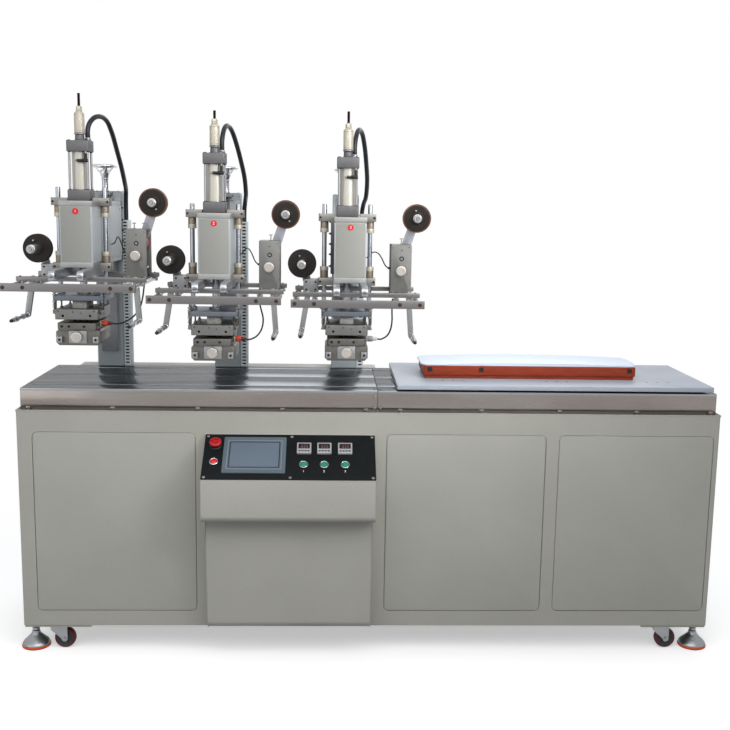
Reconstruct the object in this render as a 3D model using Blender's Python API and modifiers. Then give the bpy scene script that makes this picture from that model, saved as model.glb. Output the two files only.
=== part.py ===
"""Three-head hot stamping machine with a sliding work table.

A long sheet-steel cabinet on castors and levelling feet carries a stainless bed.
A work table runs along the bed on two rails, under three pneumatic stamping heads
that ride up and down three rear columns on hand-turned screws. Each head has a
guided ram with a heated die holder, and a foil frame with a supply reel, a feed
unit and a rewind reel.

Units are metres, +X runs along the bed, +Y to the rear and +Z up. The origin is on
the floor, under the middle of the machine.
"""
import math

import bmesh
import bpy
from mathutils import Matrix, Vector

# Clearances and shared allowances
SEAT = 0.0003            # gap between two pieces that rest on or in each other
RUN = 0.0005             # clearance of a sliding or turning fit
SINK = 0.001             # how far joined shapes reach into each other
OVERRUN = 0.010          # how far a cutter passes the face that it opens
WELD = 0.00001           # merge distance for seams and poles
ROUND_SIDES = 10         # sides of an ordinary round piece
FINE_SIDES = 14          # sides of a large round piece
SMALL_SIDES = 8          # sides of a pin, a thin rod or a small hole
NUT_SIDES = 6
CORNER_STEPS = 2         # straight steps in a rounded corner of a flat outline
SMOOTH_ANGLE = math.radians(35)
FLAT_ANGLE = math.radians(0.2)
FULL_TURN = math.radians(360)
THREE_QUARTERS = 0.75 * FULL_TURN
RIM_MOUTH = FULL_TURN / 12    # half of the handwheel rim's section that opens on the web

# Cabinet
GROUND_GAP = 0.105       # floor to the underside of the cabinet
CABINET_LENGTH = 2.420
CABINET_DEPTH = 0.610
CABINET_HEIGHT = 0.765
CABINET_SHEET = 0.003
CABINET_EDGE = 0.006     # radius along the upright corners
CABINET_PROUD = 0.025    # how far the cabinet front stands ahead of the bed
FLOOR_OPENING = (1.700, 0.360)
PAD_LENGTH = 0.230       # mounting pads for a foot and a castor
PAD_DEPTH = 0.130
PAD_THICK = 0.008
PAD_INSET = 0.004

# Service panels in the cabinet front: left edge, right edge
LEFT_PANEL_SPAN = (-1.157, -0.606)
MIDDLE_PANEL_SPAN = (0.051, 0.603)
RIGHT_PANEL_SPAN = (0.650, 1.190)
PANEL_TOP_DROP = 0.072   # cabinet top to the panel's top edge
PANEL_FOOT_RISE = 0.056  # cabinet bottom to the panel's lower edge
PANEL_SHEET = 0.0020
PANEL_RETURN = 0.012     # depth of the folded rim behind a panel
PANEL_CORNER = 0.016
PANEL_GAP = 0.0015
REBATE_WIDTH = 0.012
REBATE_SHEET = 0.002

# Bed
BED_LENGTH = 2.400
BED_DEPTH = 0.500
BED_HEIGHT = 0.075
BED_PLATE = 0.008
BED_SKIRT = 0.003
SLOT_WIDTH = 0.014
FRONT_SLOT_REACH = 0.080     # bed front to the slot's middle
REAR_SLOT_REACH = 0.440
SLOT_END_WALL = 0.020
SEAM_WIDTH = 0.002
SEAM_DEPTH = 0.0012
SEAM_REACH = 0.270
RAIL_DROP = 0.034            # bed top to the top of a rail
RAIL_WIDTH = 0.014
RAIL_HEIGHT = 0.012
RUNNER_WIDTH = 0.044
RUNNER_HEIGHT = 0.010
BEAM_DEPTH = 0.082           # rear beam under the columns
BEAM_SIDE = 0.075            # beam past the outer columns
BEAM_WALL = 0.008

# Work table
TABLE_LENGTH = 1.098
TABLE_DEPTH = 0.494
TABLE_THICK = 0.016
TABLE_GAP = 0.010            # bed top to the underside of the table
TABLE_OVERHANG = 0.022       # table ahead of the bed front
TABLE_LEFT = 0.083           # left edge at rest
WEB_THICK = 0.009
WEB_END = 0.090              # table end to web end
SHOE_LENGTH = 0.090
SHOE_WIDTH = 0.030
SHOE_WALL_DROP = 0.009       # how far a shoe's cheeks reach below the rail top
HOLE_RADIUS = 0.0035
HOLE_PITCH = 0.037
HOLE_ROW_REACH = 0.075
HOLE_GROUPS = (0.285, 0.653, 1.012)
HOLES_IN_GROUP = 3

# Work fixture
BOARD_LEFT = 0.185
BOARD_LENGTH = 0.760
BOARD_FRONT = 0.115
BOARD_DEPTH = 0.205
BOARD_HEIGHT = 0.034
BOARD_PLINTH = 0.012
BOARD_PLINTH_INSET = 0.006
BOARD_EDGE = 0.003
PAD_OVERHANG = 0.008
BLANK_HEIGHT = 0.019         # crest of the work blank above the board
BLANK_RIM = 0.006            # height of its ends
BLANK_DEPTH_TRIM = 0.006
BLANK_FULLNESS = 0.8         # power of the sine that its back follows; below 1 is fuller
BLANK_STEPS = 16
CLIP_WIDTH = 0.016
CLIP_THICK = 0.004
CLIP_HEIGHT = 0.020
CLIP_SHARES = (0.03, 0.27, 0.97)

# Console on the cabinet front, outlines measured from the bed front and the bed top
CONSOLE_WIDTH = 0.576
CONSOLE_MIDDLE = -0.280
DESK_TOP_DROP = 0.150
DESK_LEDGE = 0.007
DESK_RUN = 0.168             # depth of the sloping desk
DESK_FALL = 0.113
DESK_FRONT = 0.122           # height of the front face under the desk
DESK_ROLL = 0.026
KNEE_WIDTH = 0.564
KNEE_TOP_REACH = 0.105       # the lower box stands this far ahead of the cabinet
KNEE_FOOT_REACH = 0.062
KNEE_BOTTOM_RISE = 0.014
KNEE_ROLL = 0.030
CONSOLE_SHEET = 0.002
ROLL_STEPS = 4
TIP_STEPS = 3

# Control panel on the sloping desk, places measured from its top left corner
FACE_THICK = 0.003
SCREEN_SIZE = (0.210, 0.160)
SCREEN_PLACE = (0.171, 0.092)
SCREEN_PROUD = 0.006
SCREEN_WINDOW = (0.165, 0.108)
SCREEN_SINK = 0.0015
CONTROLLER_SIZE = 0.048
CONTROLLER_PROUD = 0.008
CONTROLLER_ROW = 0.062
BUTTON_ROW = 0.138
COLUMN_PLACES = (0.336, 0.404, 0.474)
LEFT_COLUMN = 0.038
STOP_ROW = 0.052
LAMP_ROW = 0.122
BEZEL_RADIUS = 0.015
BEZEL_PROUD = 0.005
BEZEL_EDGE = 0.0015
LAMP_RADIUS = 0.011
LAMP_PROUD = 0.009
BUTTON_RADIUS = 0.0115
BUTTON_PROUD = 0.0085
BUTTON_STEM = 0.006
BUTTON_STEM_LENGTH = 0.026
BUTTON_TRAVEL = 0.003
COLLAR_RADIUS = 0.021
COLLAR_PROUD = 0.004
STOP_RADIUS = 0.020
STOP_HEIGHT = 0.013
STOP_DOME = 0.003
STOP_TRAVEL = 0.005
STOP_STEM = 0.008
STOP_STEM_LENGTH = 0.030

# Levelling feet and castors
FOOT_INSET_X = 0.022         # cabinet end to the foot's middle
FOOT_INSET_Y = 0.070
FOOT_RADIUS = 0.050
FOOT_RIM = 0.012
FOOT_CONE = 0.048
FOOT_NECK = 0.013
FOOT_SHOULDER = 0.011
FOOT_STUD = 0.008
FOOT_NUT = 0.013
FOOT_NUT_HEIGHT = 0.010
CASTOR_STEP = 0.108          # foot to castor, along the cabinet
CASTOR_INSET_Y = 0.056
CASTOR_TRAIL = 0.026
WHEEL_RADIUS = 0.0375
WHEEL_WIDTH = 0.024
WHEEL_LIFT = 0.0010          # the feet carry the machine, so the wheels hang clear
TREAD_DEPTH = 0.008
HUB_RADIUS = 0.012
HUB_WIDTH = 0.028
AXLE_RADIUS = 0.004
FORK_SHEET = 0.003
FORK_GAP = 0.0315            # between the fork's cheeks
FORK_LEG = 0.022             # half width of a cheek at its top
FORK_FOOT = 0.011
SWIVEL_RADIUS = 0.024
SWIVEL_HEIGHT = 0.007
TOP_PLATE = 0.060
TOP_PLATE_THICK = 0.003
PEDAL_LENGTH = 0.034
PEDAL_WIDTH = 0.020
PEDAL_THICK = 0.004

# Stamping stations: middles along the bed, head lift and die setting of each
STATION_PITCH = 0.450
FIRST_STATION = -0.993
HEAD_LIFTS = (0.033, 0.0, -0.007)
DIE_SETTINGS = (0.015, 0.0, 0.012)

# Column behind the bed, with its guide rail and its wire duct
COLUMN_SIDE = 0.100
COLUMN_REACH = 0.482         # bed front to the column's front face
COLUMN_HEIGHT = 0.668
COLUMN_WALL = 0.006
GUIDE_HALF = 0.030           # half width of the dovetail at its face
GUIDE_WAIST = 0.022          # half width where it meets the column
GUIDE_THICK = 0.012
GUIDE_FOOT = 0.060
GUIDE_TOP = 0.012
LUG_HALF = 0.022
LUG_REACH = 0.052
LUG_THICK = 0.012
LUG_DROP = 0.004
SCREW_REACH = 0.030          # column face to the lifting screw
SCREW_RADIUS = 0.008
DUCT_WIDTH = 0.025
DUCT_DEPTH = 0.060
DUCT_SETBACK = 0.008         # column face to the duct's front
DUCT_WALL = 0.002
DUCT_HEIGHT = 0.560
DUCT_SLOT_HEIGHT = 0.024
DUCT_SLOT_PITCH = 0.048
DUCT_SLOT_MARGIN = 0.007

# Head housing, measured from the bed front and the bed top
RAM_REACH = 0.080            # bed front to the ram's axis
HOUSING_HALF = 0.0525
HOUSING_FRONT = -0.080
HOUSING_BACK = 0.436
HOUSING_BOTTOM = 0.380
HOUSING_TOP = 0.598
HOUSING_SHEET = 0.003
PLATE_THICK = 0.017
PLATE_LIP = 0.004
PLATE_BACK = 0.140
EAR_HALF = 0.098
EAR_DEPTH = 0.044
EAR_THICK = 0.024
GUIDE_SPACING = 0.078        # ram axis to a guide rod
GUIDE_ROD = 0.008
BUSH_RADIUS = 0.0145
BUSH_LENGTH = 0.036
CARRIAGE_HALF = 0.056
CARRIAGE_DEPTH = 0.075

# Air cylinder
CAP_HALF = 0.0375
CAP_HEIGHT = 0.036
BORE_SINK = 0.003         # the bore reaches this far into each cap
BARREL_LENGTH = 0.126
BARREL_WALL = 0.0020
TIE_RADIUS = 0.0040
TIE_INSET = 0.0080
NECK_RADIUS = 0.0155
NECK_HEIGHT = 0.020
PORT_RADIUS = 0.0065
PORT_STEM = 0.0058
PORT_RISE = 0.096            # bottom cap's top to the speed valve
PORT_REACH = 0.034
PORT_PLACE = (0.026, -0.034)
GLAND_RADIUS = 0.0115
GLAND_HEIGHT = 0.012
GLAND_PLACE = (0.022, 0.020)

# Ram: piston, rods, press plate and stroke stop
PISTON_RADIUS = 0.0255
PISTON_HEIGHT = 0.022
PISTON_ROD = 0.0125
TAIL_ROD = 0.0080
PRESS_TOP = 0.280
PRESS_THICK = 0.018
PRESS_HALF = 0.086
PRESS_FRONT = -0.085         # from the ram's axis
PRESS_BACK = 0.085
ROD_TOP = 0.628
ROD_BOSS = 0.013
ROD_BOSS_HEIGHT = 0.010
SLEEVE_RADIUS = 0.0170
SLEEVE_LENGTH = 0.071
SLEEVE_TAPER = 0.006
STOP_RING = 0.0185
STOP_RING_HEIGHT = 0.005
LOCK_NUT = 0.0095
LOCK_NUT_HEIGHT = 0.017
STUD_RADIUS = 0.0048
STUD_TOP = 0.938

# Die holder under the press plate, heights above the bed at the lowest setting
HOLDER_HALF = 0.0715
HOLDER_FRONT = -0.115        # from the ram's axis
HOLDER_BACK = 0.075
HANGER_THICK = 0.012
HANGER_INSET = 0.004
HANGER_DEPTH = 0.060
HEATER_TOP = 0.235
HEATER_BOTTOM = 0.200
HEATER_HOLE = 0.0048
HEATER_HOLE_DEPTH = 0.060
HEATER_HOLE_SPREAD = 0.045
HEATER_HOLE_DROP = 0.023
SPACER_HALF = 0.030
SPACER_DEPTH = 0.050
SLIDE_TOP = 0.188
SLIDE_BOTTOM = 0.160
SLIDE_HALF = 0.066
SLIDE_GROOVE = 0.005
DIE_BOTTOM = 0.103
DIE_HALF = 0.073
DIE_CHAMFER = 0.010
DIE_INSET = 0.014
PLUG_RADIUS = 0.010
PLUG_LENGTH = 0.026
PLUG_RISE = 0.174
PLUG_PLACE = -0.060          # from the ram's axis
GLAND_TAPER = 0.0055
GLAND_LENGTH = 0.014
KNOB_HEIGHT = 0.133
KNOB_RADIUS = 0.0180
KNOB_THICK = 0.018
KNOB_STANDOFF = 0.010
KNOB_SHAFT = 0.005
KNOB_SHAFT_LENGTH = 0.034
KNOB_EDGE = 0.002

# Handwheel on the lifting screw
HANDWHEEL_RADIUS = 0.046
HANDWHEEL_RISE = 0.748       # bed top to the rim's middle
RIM_RADIUS = 0.0065
DISH_DROP = 0.012
DISH_THICK = 0.004
WHEEL_HUB = 0.013
WHEEL_HUB_RISE = 0.012
WHEEL_SHAFT = 0.011
SCREW_END = 0.405            # bed top to the screw's lower end

# Foil frame, measured from the head's middle, the bed front and the bed top
FRAME_LEFT = -0.180
FRAME_RIGHT = 0.240
BAR_FRONT = -0.262
BAR_THICK = 0.012
BAR_HEIGHT = 0.024
BAR_BOTTOM = 0.319
FRAME_BACK = 0.190
FRAME_RAILS = (-0.168, -0.107, 0.162, 0.225)
RAIL_RADIUS = 0.006
CROSS_BOTTOM = 0.338
CROSS_HEIGHT = 0.014
CROSS_DEPTH = 0.018
CROSS_REACH = -0.066
ARM_SPREAD = 0.045
ARM_THICK = 0.014
ARM_HEIGHT = 0.030
ARM_FRONT = -0.165
ARM_BACK = 0.186
DROP_ARM_WIDTH = 0.016
DROP_ARM_THICK = 0.006
LEFT_DROP = ((-0.130, 0.345), (-0.150, 0.225))
RIGHT_DROP = ((0.204, 0.345), (0.214, 0.210))
GUIDE_ROLLER = 0.0075
GUIDE_PIN_LENGTH = 0.178

# Reels and the pieces that carry them
REEL_RADIUS = 0.049
REEL_WIDTH = 0.020
REEL_FLANGE = 0.0025
REEL_HUB = 0.0125
REEL_HUB_LENGTH = 0.014
REEL_PIN = 0.0025
REEL_PIN_LENGTH = 0.012
REEL_PIN_PLACE = 0.020
REEL_REACH = 0.090           # bed front to the reels' middle
SPINDLE_RADIUS = 0.006
SPINDLE_FRONT = 0.062
SUPPLY_PLACE = (-0.154, 0.436)
SUPPLY_BLOCK = ((-0.150, 0.104, 0.334), (-0.098, 0.140, 0.383))
REWIND_PLACE = (0.239, 0.595)
REEL_PLATE_BACK = 0.137
REEL_PLATE_THICK = 0.008
REEL_PLATE_HALF = 0.014
REWIND_FOOT = (0.203, 0.488)

# Feed unit
FEED_LEFT = 0.150
FEED_RIGHT = 0.221
FEED_FRONT = 0.050
FEED_BACK = 0.145
FEED_TOP = 0.506
FEED_KNOB_PLACE = (0.1845, 0.417)
FEED_KNOB_RADIUS = 0.0175
FEED_KNOB_THICK = 0.016
FEED_KNOB_STANDOFF = 0.002

# Air hose from the cylinder's head into the duct, places from the head's middle
HOSE_RADIUS = 0.0075
HOSE_RISE = 0.018            # straight rise out of the gland
HOSE_POINTS = (
    (0.0290, 0.118, 0.8740),
    (0.0420, 0.162, 0.8900),
    (0.0580, 0.230, 0.8580),
    (0.0700, 0.300, 0.7980),
    (0.0760, 0.370, 0.7250),
    (0.0750, 0.440, 0.6680),
    (0.0680, 0.497, 0.6400),
    (0.0625, 0.520, 0.5980),
    (0.0625, 0.520, 0.5300),
    (0.0625, 0.520, 0.4640),
)
HOSE_SPACING_SHARE = 6.0     # radii between two rings of the tube
ROUTE_SAMPLES = 400
HOSE_RESOLUTION = 2

# Places that follow from the sizes above
BED_TOP = GROUND_GAP + CABINET_HEIGHT + BED_HEIGHT
REAR_REACH = CABINET_DEPTH - CABINET_PROUD
BED_FRONT = -(BAR_FRONT + REAR_REACH) / 2
CYLINDER_HEIGHT = CAP_HEIGHT + BARREL_LENGTH + CAP_HEIGHT
GUIDE_SLOPE = (GUIDE_HALF - GUIDE_WAIST) / GUIDE_THICK
STATIONS = [FIRST_STATION + i * STATION_PITCH for i in range(len(HEAD_LIFTS))]
DESK_SLOPE = math.atan2(DESK_FALL, DESK_RUN)
DESK_LENGTH = math.hypot(DESK_FALL, DESK_RUN)


# Materials

def material(name, colour, roughness, metallic=0.0):
    """A plain Principled material."""
    made = bpy.data.materials.new(name)
    made.use_nodes = True
    shader = made.node_tree.nodes["Principled BSDF"]
    shader.inputs["Base Color"].default_value = (*colour, 1.0)
    shader.inputs["Roughness"].default_value = roughness
    shader.inputs["Metallic"].default_value = metallic
    made.diffuse_color = (*colour, 1.0)
    return made


def make_materials():
    """The finishes of the machine, by name."""
    finishes = {
        "cabinet_paint": ((0.52, 0.51, 0.47), 0.45, 0.0),
        "panel_paint": ((0.55, 0.54, 0.50), 0.45, 0.0),
        "stainless": ((0.62, 0.62, 0.62), 0.28, 1.0),
        "table_white": ((0.78, 0.79, 0.80), 0.40, 0.1),
        "fixture_board": ((0.42, 0.12, 0.05), 0.55, 0.0),
        "work_blank": ((0.86, 0.87, 0.88), 0.35, 0.0),
        "console_black": ((0.02, 0.02, 0.025), 0.40, 0.0),
        "stop_red": ((0.60, 0.02, 0.03), 0.35, 0.0),
        "button_green": ((0.01, 0.30, 0.16), 0.35, 0.0),
        "head_paint": ((0.66, 0.65, 0.60), 0.40, 0.0),
        "column_paint": ((0.60, 0.61, 0.62), 0.45, 0.1),
        "aluminium": ((0.72, 0.72, 0.73), 0.35, 1.0),
        "bright_steel": ((0.68, 0.68, 0.70), 0.22, 1.0),
        "ground_steel": ((0.50, 0.50, 0.52), 0.35, 1.0),
        "chrome": ((0.80, 0.80, 0.82), 0.08, 1.0),
        "reel_black": ((0.02, 0.015, 0.013), 0.40, 0.0),
        "reel_brown": ((0.10, 0.04, 0.02), 0.40, 0.0),
        "hose_black": ((0.02, 0.02, 0.02), 0.50, 0.0),
        "zinc": ((0.55, 0.55, 0.56), 0.40, 1.0),
        "wheel_red": ((0.28, 0.04, 0.03), 0.55, 0.0),
        "foot_black": ((0.05, 0.05, 0.05), 0.60, 0.0),
    }
    return {name: material(name, *values) for name, values in finishes.items()}


# Shape tools

def scratch_object(mesh, name="shape"):
    """A working object that holds a mesh, in the working collection."""
    made = bpy.data.objects.new(name, mesh)
    made.hide_render = True
    made.display_type = "WIRE"
    WORKSHOP.objects.link(made)
    return made


def mesh_from(builder):
    """An object from a bmesh that the builder function fills."""
    shape = bmesh.new()
    builder(shape)
    bmesh.ops.recalc_face_normals(shape, faces=shape.faces)
    mesh = bpy.data.meshes.new("shape")
    shape.to_mesh(mesh)
    shape.free()
    return scratch_object(mesh)


def evaluated_mesh(source):
    """The mesh of an object with its modifiers or curve settings applied."""
    bpy.context.view_layer.update()
    graph = bpy.context.evaluated_depsgraph_get()
    return bpy.data.meshes.new_from_object(source.evaluated_get(graph))


def settle(source, weld=True):
    """Replace a modified or curve object by its plain mesh."""
    mesh = evaluated_mesh(source)
    shape = bmesh.new()
    shape.from_mesh(mesh)
    if weld:
        bmesh.ops.remove_doubles(shape, verts=shape.verts, dist=WELD)
    shape.transform(source.matrix_world)
    shape.normal_update()
    bmesh.ops.recalc_face_normals(shape, faces=shape.faces)
    shape.to_mesh(mesh)
    shape.free()
    bpy.data.objects.remove(source)
    return scratch_object(mesh)


def block(low, high, edge=0.0, steps=1):
    """A box between two corners, with bevelled edges if asked for."""
    low = Vector(low)
    high = Vector(high)
    size = high - low

    def fill(shape):
        place = Matrix.Translation((low + high) / 2) @ Matrix.Diagonal((*size, 1.0))
        bmesh.ops.create_cube(shape, size=1.0, matrix=place)
        if edge > 0:
            bmesh.ops.bevel(shape, geom=shape.edges, offset=edge, segments=steps,
                            profile=0.5, affect="EDGES", clamp_overlap=True)

    return mesh_from(fill)


def rod(start, end, radius, sides=ROUND_SIDES, end_radius=None):
    """A cylinder or a cone between two points."""
    start = Vector(start)
    end = Vector(end)
    axis = end - start
    turn = axis.to_track_quat("Z", "Y").to_matrix().to_4x4()

    def fill(shape):
        place = Matrix.Translation((start + end) / 2) @ turn
        bmesh.ops.create_cone(shape, cap_ends=True, segments=sides, radius1=radius,
                              radius2=radius if end_radius is None else end_radius,
                              depth=axis.length, matrix=place)

    return mesh_from(fill)


def bore(start, end, radius, sides=ROUND_SIDES):
    """Round hole, or tube around one, whose flats and not its corners lie at the radius."""
    return rod(start, end, radius / math.cos(math.pi / sides), sides)


def turned(profile, sides=ROUND_SIDES, closed=False):
    """A profile of (radius, height) points turned about Z, outer side top to bottom."""
    points = [(radius, 0.0, height) for radius, height in profile]
    edges = [(i, i + 1) for i in range(len(points) - 1)]
    if closed:
        edges.append((len(points) - 1, 0))
    mesh = bpy.data.meshes.new("profile")
    mesh.from_pydata(points, edges, [])
    made = scratch_object(mesh)
    screw = made.modifiers.new("turn", "SCREW")
    screw.axis = "Z"
    screw.angle = FULL_TURN
    screw.steps = sides
    screw.render_steps = sides
    screw.use_merge_vertices = True
    screw.merge_threshold = WELD
    return settle(made)


def extruded(outline, low, high, along="X"):
    """A flat outline of (a, b) points drawn out along X (a=Y, b=Z) or Y (a=X, b=Z)."""
    curve = bpy.data.curves.new("outline", "CURVE")
    curve.dimensions = "2D"
    curve.fill_mode = "BOTH"
    curve.extrude = (high - low) / 2
    spline = curve.splines.new("POLY")
    spline.points.add(len(outline) - 1)
    for point, (a, b) in zip(spline.points, outline):
        point.co = (a, b, 0.0, 1.0)
    spline.use_cyclic_u = True
    made = bpy.data.objects.new("outline", curve)
    WORKSHOP.objects.link(made)
    middle = (high + low) / 2
    if along == "X":
        axes = Matrix(((0, 0, 1, middle), (1, 0, 0, 0), (0, 1, 0, 0), (0, 0, 0, 1)))
    elif along == "Y":
        axes = Matrix(((1, 0, 0, 0), (0, 0, 1, middle), (0, 1, 0, 0), (0, 0, 0, 1)))
    else:
        axes = Matrix(((1, 0, 0, 0), (0, 1, 0, 0), (0, 0, 1, middle), (0, 0, 0, 1)))
    made.matrix_world = axes
    return settle(made)


def boolean(base, tool, operation):
    """Join or cut two working shapes, and drop the tool."""
    step = base.modifiers.new("step", "BOOLEAN")
    step.operation = operation
    step.solver = "EXACT"
    step.object = tool
    mesh = evaluated_mesh(base)
    base.modifiers.clear()
    old = base.data
    base.data = mesh
    bpy.data.meshes.remove(old)
    bpy.data.objects.remove(tool)
    return base


def joined(*shapes):
    """One solid from shapes that reach into each other."""
    base = shapes[0]
    for tool in shapes[1:]:
        boolean(base, tool, "UNION")
    return base


def cut(base, *tools):
    """The base less each tool."""
    for tool in tools:
        boolean(base, tool, "DIFFERENCE")
    return base


def moved(shape, offset, turn=None):
    """The shape turned about its origin and then moved."""
    place = Matrix.Translation(offset)
    if turn is not None:
        place = place @ turn
    shape.data.transform(place)
    return shape


def arc(middle, radius, start, end, steps=ROLL_STEPS):
    """Points on a circular arc between two angles in radians."""
    points = []
    for i in range(steps + 1):
        angle = start + (end - start) * i / steps
        points.append((middle[0] + radius * math.cos(angle),
                       middle[1] + radius * math.sin(angle)))
    return points


def rounded_outline(width, height, radius, middle=(0.0, 0.0)):
    """A rectangle with round corners, about its middle."""
    half_w = width / 2 - radius
    half_h = height / 2 - radius
    quarter = FULL_TURN / 4
    points = []
    for i, (sx, sy) in enumerate(((1, 1), (-1, 1), (-1, -1), (1, -1))):
        corner = (middle[0] + sx * half_w, middle[1] + sy * half_h)
        points += arc(corner, radius, i * quarter, (i + 1) * quarter, CORNER_STEPS)
    return points


def merge_flats(shape):
    """Dissolve the edges and points that cuts and joins leave on flat faces."""
    clean = bmesh.new()
    clean.from_mesh(shape.data)
    bmesh.ops.dissolve_limit(clean, angle_limit=FLAT_ANGLE, use_dissolve_boundaries=False,
                             verts=clean.verts, edges=clean.edges)
    clean.to_mesh(shape.data)
    clean.free()


def publish(name, shape, finish, parent=None, location=(0.0, 0.0, 0.0)):
    """Turn a working shape into a named sub-part."""
    shape.name = name
    shape.data.name = name
    merge_flats(shape)
    WORKSHOP.objects.unlink(shape)
    MACHINE.objects.link(shape)
    shape.hide_render = False
    shape.display_type = "TEXTURED"
    shape.data.materials.clear()
    shape.data.materials.append(FINISHES[finish])
    shape.data.shade_smooth()
    shape.data.set_sharp_from_angle(angle=SMOOTH_ANGLE)
    shape.location = location
    shape.parent = parent
    return shape


def marker(name, location, parent=None):
    """An empty that carries sub-parts."""
    made = bpy.data.objects.new(name, None)
    made.empty_display_size = GROUND_GAP
    made.location = location
    made.parent = parent
    MACHINE.objects.link(made)
    return made


# Cabinet and its service panels

def cabinet_box():
    """Low and high corners of the cabinet's outside."""
    front = BED_FRONT - CABINET_PROUD
    low = Vector((-CABINET_LENGTH / 2, front, GROUND_GAP))
    high = Vector((CABINET_LENGTH / 2, front + CABINET_DEPTH, GROUND_GAP + CABINET_HEIGHT))
    return low, high


def panel_outline(span, grow):
    """Outline of a service panel in the cabinet front, grown or shrunk all round."""
    low, high = cabinet_box()
    bottom = low.z + PANEL_FOOT_RISE
    top = high.z - PANEL_TOP_DROP
    middle = ((span[0] + span[1]) / 2, (bottom + top) / 2)
    return rounded_outline(span[1] - span[0] + 2 * grow, top - bottom + 2 * grow,
                           PANEL_CORNER + grow, middle)


def upright_edge_box(low, high, radius):
    """A box whose four upright edges are rounded."""
    outline = rounded_outline(high.x - low.x, high.y - low.y, radius,
                              ((low.x + high.x) / 2, (low.y + high.y) / 2))
    return extruded(outline, low.z, high.z, "Z")


def foot_places():
    """Middles of the four levelling feet, front left first."""
    low, high = cabinet_box()
    sides = (low.x + FOOT_INSET_X, high.x - FOOT_INSET_X)
    depths = (low.y + FOOT_INSET_Y, high.y - FOOT_INSET_Y)
    return [(x, y) for y in depths for x in sides]


def castor_places():
    """Kingpins of the four castors, front left first."""
    low, high = cabinet_box()
    step = FOOT_INSET_X + CASTOR_STEP
    sides = (low.x + step - CASTOR_TRAIL, high.x - step - CASTOR_TRAIL)
    depths = (low.y + CASTOR_INSET_Y, high.y - CASTOR_INSET_Y)
    return [(x, y) for y in depths for x in sides]


def make_cabinet():
    low, high = cabinet_box()
    wall = Vector((CABINET_SHEET, CABINET_SHEET, CABINET_SHEET))
    body = upright_edge_box(low, high, CABINET_EDGE)
    cut(body, block(low + wall, high - wall))
    opening = Vector((*FLOOR_OPENING, 0.0)) / 2
    middle = (low + high) / 2
    cut(body, block((middle.x - opening.x, middle.y - opening.y, low.z - OVERRUN),
                    (middle.x + opening.x, middle.y + opening.y, low.z + OVERRUN)))
    for span in (LEFT_PANEL_SPAN, MIDDLE_PANEL_SPAN, RIGHT_PANEL_SPAN):
        back = low.y + PANEL_RETURN + SEAT
        joined(body, extruded(panel_outline(span, REBATE_SHEET), low.y + SINK,
                              back + REBATE_SHEET, "Y"))
        cut(body, extruded(panel_outline(span, PANEL_GAP), low.y - OVERRUN, back, "Y"))
        cut(body, extruded(panel_outline(span, -REBATE_WIDTH), low.y - OVERRUN,
                           back + OVERRUN, "Y"))
    rear_castors = castor_places()[2:]
    for x_share, y_share in ((0, 0), (1, 0), (0, 1), (1, 1)):
        x = low.x + PAD_INSET + x_share * (high.x - low.x - PAD_LENGTH - 2 * PAD_INSET)
        y = low.y + PAD_INSET + y_share * (high.y - low.y - PAD_DEPTH - 2 * PAD_INSET)
        joined(body, block((x, y, low.z - PAD_THICK), (x + PAD_LENGTH, y + PAD_DEPTH,
                                                       low.z + SINK)))
    for place in rear_castors:
        joined(body, moved(castor_fork(pedal=False), (*place, low.z - PAD_THICK)))
    for x, y in foot_places():
        cut(body, bore((x, y, low.z - PAD_THICK - OVERRUN), (x, y, low.z + OVERRUN),
                       FOOT_STUD + RUN, NUT_SIDES))
    return publish("cabinet", body, "cabinet_paint")


def make_panel(name, span):
    low, _ = cabinet_box()
    body = extruded(panel_outline(span, 0.0), low.y, low.y + PANEL_RETURN, "Y")
    cut(body, extruded(panel_outline(span, -PANEL_SHEET), low.y + PANEL_SHEET,
                       low.y + PANEL_RETURN + OVERRUN, "Y"))
    return publish(name, body, "panel_paint")


# Bed, its rails and the beam under the columns

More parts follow.
